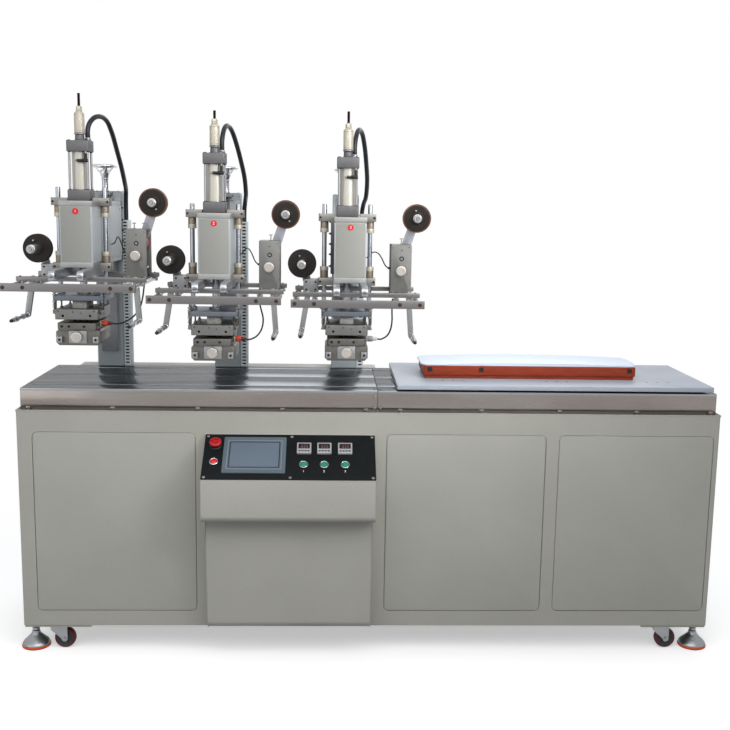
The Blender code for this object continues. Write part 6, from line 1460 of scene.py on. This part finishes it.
def make_die_holder(station):
    """Heater block, slide plate and die block under the press plate, their bolts and the plug."""
    at = station.ram
    heater = slab(round_rect((-0.0715, HOLDER_FRONT), (0.0715, HOLDER_BACK), 0.005, 4), HEATER_LOW,
                  HEATER_HIGH, 0.0022, 3)
    insulator = box((-0.023, HOLDER_FRONT + 0.044, HEATER_HIGH - 0.0005),
                    (0.023, HOLDER_BACK - 0.04, PRESS_LOW))
    spacer = box((-0.03, -0.05, SLIDE_HIGH - 0.0005), (0.03, 0.05, HEATER_LOW + 0.0005))
    wings = [box((x - 0.0075, -0.09, 0.212), (x + 0.0075, -0.072, 0.222), 0.0012)
             for x in (-0.077, 0.077)]
    slide = slab(round_rect((-0.066, HOLDER_FRONT), (0.066, HOLDER_BACK), 0.013, 6), SLIDE_LOW,
                 SLIDE_HIGH, 0.0024, 3)
    groove = box((-0.058, HOLDER_FRONT + 0.012, 0.154), (0.058, HOLDER_BACK - 0.012, 0.1606),
                 0.0008)
    front, back = HOLDER_FRONT + DIE_INSET, HOLDER_BACK - DIE_INSET
    die = [(-0.063, 0.103), (0.063, 0.103), (0.073, 0.113), (0.073, 0.149), (0.066, 0.155),
           (-0.066, 0.155), (-0.073, 0.149), (-0.073, 0.113)]
    lugs = [box((x - 0.0095, HOLDER_FRONT + 0.004, 0.112), (x + 0.0095, front + 0.004, 0.134),
                0.0014) for x in (-LUG_X, LUG_X)]
    face = box((-0.03, HOLDER_FRONT + 0.0095, 0.11), (0.03, front + 0.002, 0.1535), 0.0016)
    station.add("heater_block", "ram", "die_head", at, [
        ("die_metal", [heater] + wings), ("steel", [spacer, groove]), ("insulator", [insulator]),
        ("tool_steel", [slide, along_y(die, front, back, 0.001)]), ("aluminium", [face] + lugs)],
        True)
    places = [(x, HOLDER_FRONT, ROD_HOLE_H) for x in (-ROD_HOLE_X, ROD_HOLE_X)]
    collars = copies(eyelet(0.0046, 0.0062, 0.0004), places, FRONT)
    # Dark discs in the rod and sensor holes: painted shade.
    holes = copies(well(0.0047, 0.0001, 0.0001), places, FRONT)
    holes += copies(well(0.0022, 0.0001, 0.0002, 16),
                    [(x, HOLDER_FRONT, h) for x, h in SENSOR_HOLES], FRONT)
    bolts = screws([(x, HOLDER_FRONT + 0.0005, 0.1685) for x in (-0.05, -0.026, 0.024)], FRONT,
                   0.0042, 0.003)
    bolts += screws([(x, -0.0505, 0.1855) for x in (-0.02, 0.0, 0.02)], FRONT, 0.0048, 0.009)
    bolts += screws([(x, HOLDER_FRONT + 0.0042, 0.123) for x in (-LUG_X, LUG_X)], FRONT, 0.0042,
                    0.0024)
    studs, springs, nuts = [], [], []
    for side in (-1, 1):
        x, v = side * STUD_X, STUD_Y
        studs.append(thread((x, v, 0.206), (x, v, 0.293), 0.0036, 0.0016, 14))
        springs.append(coil((x, v, 0.224), (x, v, 0.246), 0.0062, 0.0012, 5.5))
        nuts += [moved(hex_nut(0.0076, tall), (x, v, low)) for low, tall in (
            (0.2464, 0.0044), (PRESS_HIGH, 0.005), (PRESS_HIGH + 0.0085, 0.0045), (0.207, 0.0046))]
        x = side * SPACER_X
        for v in SPACER_YS:
            studs.append(thread((x, v, 0.226), (x, v, PRESS_LOW + 0.0005), 0.003, 0.0016, 14))
            nuts += [moved(hex_nut(0.0056, tall), (x, v, low))
                     for low, tall in ((0.226, 0.0044), (PRESS_LOW - 0.004, 0.004))]
    station.add("holder_bolts", "ram", "die_head", at, [
        ("hole", holes), ("screw", collars + nuts), ("dark_screw", bolts), ("steel", studs),
        ("spring", springs)])
    plug, boot = PLUG_FINISH[station.index]
    shell = [(0.007, 0.0), (0.0098, 0.0), (0.01, 0.007), (0.0088, 0.0078), (0.0088, 0.0094),
             (0.01, 0.0102), (0.01, 0.02), (0.0078, 0.026)]
    tail = [(0.0064, 0.0258), (0.0068, 0.029), (0.005, 0.04), (0.0034, 0.0405)]
    flat = box((0.0655, -0.071, 0.164), (0.0712, -0.049, 0.184), 0.001)
    station.add("heater_plug", "ram", "die_head", at, [
        (plug, [aimed(turned(shell, 32, 0.0006), PLUG_PLACE, RIGHT)]),
        (boot, [aimed(turned(tail, 28, 0.0006), PLUG_PLACE, RIGHT)]), ("zinc", [flat])])


def make_knobs(station):
    """Adjusting knob of the die block and knob of the feed rollers, each on its stem."""
    shape = aimed(knob(0.018, 0.01, 0.018), HERE, FRONT)
    stem = [drum_y(0, 0, 0.0335, -0.0105, 0.005)]
    collar = aimed(sleeve(0.0092, 0.0052, 0.0003, 0.0058, 32), HERE, FRONT)
    name = station.name("die_knob")
    piece(name + "_turned", name, station.ram + (0, HOLDER_FRONT + DIE_INSET, 0.133), [
        ("knob", [shape]), ("bright", stem), ("steel", [collar])], [name])
    name = station.name("feed_knob")
    place = station.head + (LOWER_ROLLER[0], FEED_FRONT, LOWER_ROLLER[1])
    piece(name + "_turned", name, place, [
        ("knob", [aimed(knob(0.0175, 0.002, 0.016), HERE, FRONT)]),
        ("bright", [drum_y(0, 0, 0.0335, -0.0025, 0.005)])], [name])


# Foil frame

BAR_LOW, BAR_TALL, BAR_FRONT, BAR_THICK = 0.3185, 0.0252, -0.262, 0.012
FRAME_LEFT, FRAME_RIGHT = -0.18, 0.24
RAILS = (-0.168, -0.107, 0.162, 0.225)
RAIL_H = 0.331
CROSS_BACKS, CROSS_HIGH = (-0.066, 0.19), 0.352
DROPS = (((-0.13, 0.345), (-0.15, 0.225)), ((0.204, 0.345), (0.214, 0.21)))
DROP_FRONT, DROP_BACK = -0.0735, -0.058
SUPPLY, REWIND = (-0.154, 0.436), (0.239, 0.595)
SUPPLY_ROOT, REWIND_ROOT = (-0.136, 0.369), (0.203, 0.488)
LINK_FRONT, LINK_BACK = 0.129, 0.137
NOSE_V, NOSE_H = -0.18, 0.3625
ARM_XS, ARM_HALF, ARM_LOW, ARM_HIGH = (-0.036, 0.054), 0.0105, 0.3497, 0.3797
ARM_OUTLINE = np.concatenate([
    arc_points((NOSE_V, NOSE_H), 0.0172, TURN * 0.28, TURN * 0.75, 16),
    [(-0.14, ARM_LOW), (0.186, ARM_LOW), (0.186, ARM_HIGH), (-0.146, ARM_HIGH)]])
GUIDE = ((0.005, 0.0), (0.0095, 0.0), (0.0095, 0.005), (0.0075, 0.0062), (0.0075, 0.04),
         (0.0062, 0.0415), (0.0062, 0.118), (0.0075, 0.1192), (0.0075, 0.15), (0.0058, 0.1515),
         (0.0058, 0.164), (0.004, 0.164))
PIER_FRONT, PIER_LEVELS = 0.104, (0.345, 0.372)
FEED_LEFT, FEED_RIGHT, FEED_LOW, FEED_HIGH = 0.15, 0.221, 0.3362, 0.506
FEED_FRONT, FEED_BACK, FEED_PLATE = 0.05, 0.145, 0.008
UPPER_ROLLER, LOWER_ROLLER = (0.1985, 0.459), (0.1845, 0.417)
ADJUSTER = (0.1865, FEED_FRONT, 0.4585)
FEED_AXLES = ((0.1985, 0.459, 0.006), (0.212, 0.376, 0.005), (0.164, 0.36, 0.005))
PEG_V, PEG_XS = 0.098, ((0.172, 0.205), (0.188,), (0.188,))


def reel_arm(root, axis, root_radius, axis_radius):
    """Flat link from a root to a reel's axis, with its spindle, thrust collar and nut."""
    x, h = axis
    link = along_y(link_outline(root, axis, root_radius, axis_radius, 12), LINK_FRONT, LINK_BACK,
                   0.001, 3)
    spindle = drum_y(x, h, LINK_BACK + 0.0002, 0.062, 0.006, 24, 0.001)
    thrust = drum_y(x, h, LINK_FRONT + 0.0005, 0.101, 0.01, 28, 0.0012)
    return link, spindle, [thrust, aimed(hex_nut(0.01, 0.006), (x, LINK_BACK, h), BACK)]


def make_foil_frame(station):
    """Cross bars on four rails, arms to the front, hanging foil guides and the supply bracket."""
    at = station.head
    bars = [box((FRAME_LEFT, BAR_FRONT, BAR_LOW),
                (FRAME_RIGHT, BAR_FRONT + BAR_THICK, BAR_LOW + BAR_TALL), 0.0012, 3)]
    bars += [box((FRAME_LEFT, back - 0.018, 0.3368), (FRAME_RIGHT, back, CROSS_HIGH), 0.0012, 3)
             for back in CROSS_BACKS]
    rails = [drum_y(x, RAIL_H, BAR_FRONT + BAR_THICK - 0.001, 0.1895, 0.006) for x in RAILS]
    ends = [(x, BAR_FRONT, RAIL_H) for x in RAILS]
    # Dark discs round the rail-end screw heads: painted shade.
    wells = copies(well(0.0064, 0.0002, 0.00015, 32), ends, FRONT)
    heads = screws(ends, FRONT, 0.0054, 0.0018)
    crossings = [(x, back) for back in CROSS_BACKS for x in RAILS]
    saddles = [box((x - 0.0095, back - 0.016, 0.3235), (x + 0.0095, back - 0.002, 0.3375), 0.0012)
               for x, back in crossings]
    tops = screws([(x, back - 0.009, CROSS_HIGH) for x, back in crossings], UP, 0.0034, 0.0022)
    station.add("foil_bars", "head", "foil_frame", at, [
        ("bar", bars), ("bright", rails), ("hole", wells), ("bar_screw", heads),
        ("dark_screw", tops), ("aluminium", saddles)], True)
    arms, eyes, rims = [], [], []
    for middle in ARM_XS:
        arms.append(along_x(ARM_OUTLINE, middle - ARM_HALF, middle + ARM_HALF, 0.0012, 3))
        for x, way in ((middle - ARM_HALF, LEFT), (middle + ARM_HALF, RIGHT)):
            rims.append(aimed(eyelet(0.0048, 0.0068, 0.0005), (x, NOSE_V, NOSE_H), way))
            # Dark disc in each nose's bore: painted shade.
            eyes.append(aimed(well(0.0049, 0.0001, 0.0001), (x, NOSE_V, NOSE_H), way))
        rims.append(aimed(hex_nut(0.0066, 0.0034), (middle, NOSE_V - 0.0166, NOSE_H), FRONT))
    drops = [along_y(link_outline(start, end, 0.0092, 0.0086, 10), DROP_FRONT, DROP_BACK, 0.001, 3)
             for start, end in DROPS]
    station.add("frame_arms", "head", "foil_frame", at, [
        ("arm_metal", arms), ("aluminium", drops), ("screw", rims), ("hole", eyes)])
    rollers, collars, tips = [], [], []
    cap = [(0.004, 0.1636), (0.0056, 0.164), (0.0056, 0.173), (0.004, 0.1775)]
    for _, (x, h) in DROPS:
        foot = (x, DROP_FRONT, h)
        rollers.append(aimed(turned(GUIDE, 32, 0.0006), foot, FRONT))
        collars += [aimed(sleeve(0.0088, 0.006, out, out + 0.006), foot, FRONT)
                    for out in (0.044, 0.113)]
        tips.append(aimed(turned(cap, 24, 0.001), foot, FRONT))
        collars.append(aimed(hex_nut(0.0078, 0.005), (x, DROP_BACK, h), BACK))
    station.add("foil_guides", "head", "foil_frame", at, [
        ("bright", rollers), ("zinc", collars), ("black", tips)])
    pier = box((-0.15, PIER_FRONT, 0.334), (-0.098, PIER_FRONT + 0.036, 0.383), 0.0016, 3)
    link, spindle, fittings = reel_arm(SUPPLY_ROOT, SUPPLY, 0.014, 0.014)
    bolts = screws([(x, PIER_FRONT, h) for x in (-0.14, -0.108) for h in PIER_LEVELS], FRONT,
                   0.0034, 0.0022)
    bolts += screws([(SUPPLY_ROOT[0], LINK_FRONT, SUPPLY_ROOT[1])], FRONT, 0.0044, 0.003)
    station.add("supply_bracket", "head", "foil_frame", at, [
        ("aluminium", [pier, link]), ("bright", [spindle]), ("steel", fittings),
        ("dark_screw", bolts)])


def make_feed_unit(station):
    """Two plates with a pair of feed rollers between them, open on the right."""
    outline = round_rect((FEED_LEFT, FEED_LOW), (FEED_RIGHT, FEED_HIGH), 0.0035, 4)
    plates = [along_y(outline, front, front + FEED_PLATE, 0.001, 3)
              for front in (FEED_FRONT, FEED_BACK - FEED_PLATE)]
    left, right = FEED_LEFT + 0.0002, FEED_RIGHT - 0.0004
    low, high = FEED_LOW + 0.0004, FEED_HIGH - 0.0004
    plates += [box((left, FEED_FRONT + 0.0075, foot), (end, FEED_BACK - 0.0075, top), 0.0008)
               for end, foot, top in ((left + 0.0043, low, high), (right, low, low + 0.006),
                                      (right, high - 0.0054, high))]
    red = [drum_y(*UPPER_ROLLER, 0.06, 0.135, 0.0205, 40, 0.0016)]
    grey = [drum_y(*LOWER_ROLLER, 0.06, 0.135, 0.0212, 40, 0.0016)]
    axles = [drum_y(x, h, 0.057, 0.138, radius, 20) for x, h, radius in FEED_AXLES]
    heads, slots = pan_screws([(x, FEED_FRONT, h) for x in (0.1575, 0.2135)
                               for h in (0.344, 0.4985)], FRONT, 0.003)
    # Dark discs at the adjuster: painted shade of its holes.
    marks = [aimed(well(0.0022, 0.0001, 0.00015, 16), np.add(ADJUSTER, (0, 0, 0.0285)), FRONT),
             aimed(well(0.008, 0.0002, 0.00012, 32), ADJUSTER, FRONT)]
    socket = aimed(cap_screw(0.0048, 0.002), ADJUSTER, FRONT)
    ring = aimed(sleeve(0.0128, 0.0056, 0.0, 0.0014, 36, 0.0004),
                 (LOWER_ROLLER[0], FEED_FRONT, LOWER_ROLLER[1]), FRONT)
    pegs = []
    for x in PEG_XS[station.index]:
        pegs.append(thread((x, PEG_V, 0.505), (x, PEG_V, 0.5245), 0.002, 0.0014, 12))
        pegs.append(drum((x - 0.0062, PEG_V, 0.525), (x + 0.0062, PEG_V, 0.525), 0.0017, 12))
        pegs.append(moved(hex_nut(0.0046, 0.003), (x, PEG_V, 0.5055)))
    link, spindle, fittings = reel_arm(REWIND_ROOT, REWIND, 0.0165, 0.015)
    grommet = [(0.0016, 0), (0.0042, 0), (0.0042, 0.004), (0.0026, 0.009), (0.0016, 0.009)]
    entry = aimed(turned(grommet, 24, 0.0005, closed=True), (left, 0.1, 0.4235), LEFT)
    station.add("feed_box", "head", "foil_frame", station.head, [
        ("box_metal", plates), ("arm_metal", [link]), ("roller_red", red), ("roller_grey", grey),
        ("bright", axles + [spindle]), ("screw", heads + pegs + [socket, ring]),
        ("hole", slots + marks), ("steel", fittings), ("black", [entry])])


# Reels, about the Y axis, with their hub in front

REEL_V = 0.09
REWIND_PINS = ((0.014, -0.022), (0.014, -0.022), (-0.006, 0.026))


def make_reel(name, place, at, foil_radius, flange_radius, pin, rim, reach):
    """Reel: two flanges with a wound pack between them, a bright hub and a driving pin.

    The pack's rim steps in and out by a foil's thickness; rim names its finish, and reach is how
    far the hub stands out to the front.
    """
    x, h = place
    flange = [(0.0066, -0.01), (flange_radius - 0.0012, -0.01), (flange_radius, -0.0092),
              (flange_radius, -0.0076), (0.0066, -0.0076)]
    rear = [(0.0066, 0.008), (0.0482, 0.008), (0.049, 0.0088), (0.049, 0.01), (0.0066, 0.01)]
    turns = np.linspace(-0.007, 0.0076, 9)
    wound = [(0.012, -0.0078)] + [(foil_radius - 0.0002 * (k % 2), t) for k, t in enumerate(turns)]
    wound += [(0.012, 0.0082)]
    boss = [(0.0066, -0.0095), (0.0225, -0.0095), (0.0225, -0.0114), (0.0205, -0.0122),
            (0.0066, -0.0122)]
    hub = [(0.0066, -0.011), (0.015, -0.011), (0.015, 0.007 - reach), (0.0118, 0.0055 - reach),
           (0.0118, -reach), (0.0066, -reach)]
    piece(name + "_wound", name, (at[0] + x, at[1] + REEL_V, at[2] + h), [
        ("reel", [lathe_y(flange, 72, 0.0006), lathe_y(rear, 72, 0.0004),
                  lathe_y(boss[::-1], 48, 0.0004)]),
        (rim, [lathe_y(wound, 72, 0)]),
        ("hub_metal", [lathe_y(hub[::-1], 40, 0.0008), drum_y(*pin, -0.009, -0.03, 0.0028, 16)]),
        ("bright", [drum_y(0, 0, 0.0002 - reach, -0.0032 - reach, 0.0064, 24, 0.001)]),
        ("dark_screw", screws([(0.019 * math.cos(a), -0.0118, 0.019 * math.sin(a))
                               for a in (0.5, 2.6, 4.7)], FRONT, 0.0022, 0.0014))], [name])


def make_station(station):
    """Everything of one station but its cords, from the column forwards."""
    for make in (make_column, make_handwheel, make_housing, make_cylinder, make_ram,
                 make_die_holder, make_knobs, make_foil_frame, make_feed_unit):
        make(station)
    make_reel(station.name("supply_reel"), SUPPLY, station.head, 0.047, 0.049, (-0.008, 0.027),
              "foil", 0.095)
    make_reel(station.name("rewind_reel"), REWIND, station.head, 0.0486, 0.044,
              REWIND_PINS[station.index], "copper", 0.042)


# Stage, light and camera

def seen_share(tree):
    """1 for camera, glossy and transmission rays, 0 for the light's own bounces."""
    path = new_node(tree, "LightPath")
    first, second = (new_node(tree, "Math", operation="MAXIMUM") for _ in range(2))
    tree.links.new(path.outputs["Is Camera Ray"], first.inputs[0])
    tree.links.new(path.outputs["Is Glossy Ray"], first.inputs[1])
    tree.links.new(first.outputs[0], second.inputs[0])
    tree.links.new(path.outputs["Is Transmission Ray"], second.inputs[1])
    return second.outputs[0]


FLOOR_REACH = 30.0
FLOOR_NEAR, FLOOR_FAR = 1.5, 2.7
FLOOR_LIFT = 0.46
FLOOR_LIT, FLOOR_SEEN = (0.2, 0.2, 0.2, 1), (0.8, 0.8, 0.8, 1)
WORLD_LIT, WORLD_STRENGTH = (0.95, 0.97, 1.0, 1), 0.48


def make_stage():
    """Pale floor: it takes the object's shadow near the object and fades to white further out."""
    floor = bpy.data.meshes.new("floor")
    corners = ((-1, -1), (1, -1), (1, 1), (-1, 1))
    floor.from_pydata([(FLOOR_REACH * x, FLOOR_REACH * y, 0) for x, y in corners], [],
                      [(0, 1, 2, 3)])
    tiles = bpy.data.objects.new("floor", floor)
    bpy.context.scene.collection.objects.link(tiles)
    paper = bpy.data.materials.new("pale_floor")
    paper.use_nodes = True
    tree = paper.node_tree
    seen_by_eye = seen_share(tree)
    tone = new_node(tree, "Mix", data_type="RGBA")
    tone.inputs["A"].default_value = FLOOR_LIT
    tone.inputs["B"].default_value = FLOOR_SEEN
    shader = tree.nodes["Principled BSDF"]
    shader.inputs["Roughness"].default_value = 0.85
    shader.inputs["Specular IOR Level"].default_value = 0.0
    lift, white = (new_node(tree, "Emission") for _ in range(2))
    white.inputs["Strength"].default_value = 1.0
    scale = new_node(tree, "Math", {1: FLOOR_LIFT}, operation="MULTIPLY")
    place = new_node(tree, "TexCoord")
    away = new_node(tree, "VectorMath", operation="LENGTH")
    fade = new_node(tree, "MapRange", {"From Min": FLOOR_NEAR, "From Max": FLOOR_FAR},
                    interpolation_type="SMOOTHSTEP")
    both = new_node(tree, "Math", operation="MULTIPLY")
    add = new_node(tree, "AddShader")
    mix = new_node(tree, "MixShader")
    for source, target in (
            (seen_by_eye, tone.inputs["Factor"]),
            (tone.outputs["Result"], shader.inputs["Base Color"]),
            (seen_by_eye, scale.inputs[0]),
            (scale.outputs[0], lift.inputs["Strength"]),
            (place.outputs["Object"], away.inputs[0]),
            (away.outputs["Value"], fade.inputs["Value"]),
            (fade.outputs["Result"], both.inputs[0]),
            (seen_by_eye, both.inputs[1]),
            (shader.outputs[0], add.inputs[0]),
            (lift.outputs[0], add.inputs[1]),
            (both.outputs[0], mix.inputs["Fac"]),
            (add.outputs[0], mix.inputs[1]),
            (white.outputs[0], mix.inputs[2]),
            (mix.outputs[0], tree.nodes["Material Output"].inputs["Surface"])):
        tree.links.new(source, target)
    floor.materials.append(paper)


def make_world():
    """Even studio light, white where a camera, mirror or glass sees the world itself."""
    world = bpy.data.worlds.new("studio")
    bpy.context.scene.world = world
    world.use_nodes = True
    tree = world.node_tree
    back = tree.nodes["Background"]
    back.inputs["Color"].default_value = WORLD_LIT
    back.inputs["Strength"].default_value = WORLD_STRENGTH
    white = new_node(tree, "Background", {"Color": (1, 1, 1, 1), "Strength": 1.0})
    mix = new_node(tree, "MixShader")
    tree.links.new(seen_share(tree), mix.inputs[0])
    tree.links.new(back.outputs[0], mix.inputs[1])
    tree.links.new(white.outputs[0], mix.inputs[2])
    tree.links.new(mix.outputs[0], tree.nodes["World Output"].inputs["Surface"])


LAMPS = (("ceiling", (0.0, -2.6, 3.2), (0.0, 0.1, 0.8), (3.6, 2.4), 74, (1.0, 0.99, 0.97), 180),
         ("left_fill", (-3.4, -2.6, 1.4), (-0.4, 0.0, 0.6), (2.2, 2.2), 16, (0.96, 0.98, 1.0), 180),
         ("right_window", (1.3, -1.6, 2.2), (-0.15, 0.0, 1.4), (0.9, 0.9), 5, (1.0, 0.995, 0.98),
          62),
         ("rear", (0.6, 3.2, 3.0), (0.0, 0.2, 1.0), (3.0, 1.6), 32, (0.96, 0.98, 1.0), 180))


def make_lamps():
    """Soft rectangular lamps, each turned to the point that it lights."""
    for name, place, aim, size, power, colour, spread in LAMPS:
        lamp = bpy.data.lights.new(name, "AREA")
        lamp.shape = "RECTANGLE"
        lamp.size, lamp.size_y = size
        lamp.energy = power
        lamp.color = colour
        lamp.spread = math.radians(spread)
        holder = bpy.data.objects.new(name, lamp)
        bpy.context.scene.collection.objects.link(holder)
        holder.location = place
        holder.rotation_euler = (Vector(aim) - Vector(place)).to_track_quat("-Z", "Y").to_euler()


CAMERA_PLACE = (-0.15376, -3.42648, 0.63971)
CAMERA_PITCH, CAMERA_YAW, CAMERA_ROLL = 0.158771, 0.036723, 0.015746
FOCAL_SHARE = 1014.51166 / 730


def make_camera():
    """Camera at the viewing angle: pitched down, turned right and slightly rolled."""
    camera = bpy.data.cameras.new("camera")
    camera.sensor_fit = "HORIZONTAL"
    camera.sensor_width = 36.0
    camera.lens = camera.sensor_width * FOCAL_SHARE
    holder = bpy.data.objects.new("camera", camera)
    bpy.context.scene.collection.objects.link(holder)
    ahead = Vector((math.sin(CAMERA_YAW) * math.cos(CAMERA_PITCH),
                    math.cos(CAMERA_YAW) * math.cos(CAMERA_PITCH), -math.sin(CAMERA_PITCH)))
    side = Vector((math.cos(CAMERA_YAW), -math.sin(CAMERA_YAW), 0))
    top = side.cross(ahead)
    c, s = math.cos(CAMERA_ROLL), math.sin(CAMERA_ROLL)
    right, up = c * side + s * top, c * top - s * side
    turn = Matrix((right, up, -ahead)).transposed().to_4x4()
    holder.matrix_world = Matrix.Translation(Vector(CAMERA_PLACE) + Vector(BASE)) @ turn
    bpy.context.scene.camera = holder


bpy.context.scene.view_settings.view_transform = "Standard"
make_camera()
make_stage()
make_world()
make_lamps()
heads = [Station(index) for index in range(len(STATIONS))]
for head in heads:
    make_cords(head)
make_cabinet()
make_bed()
make_console()
make_control_panel()
make_buttons()
make_undercarriage()
make_table()
make_fixture()
for head in heads:
    make_station(head)
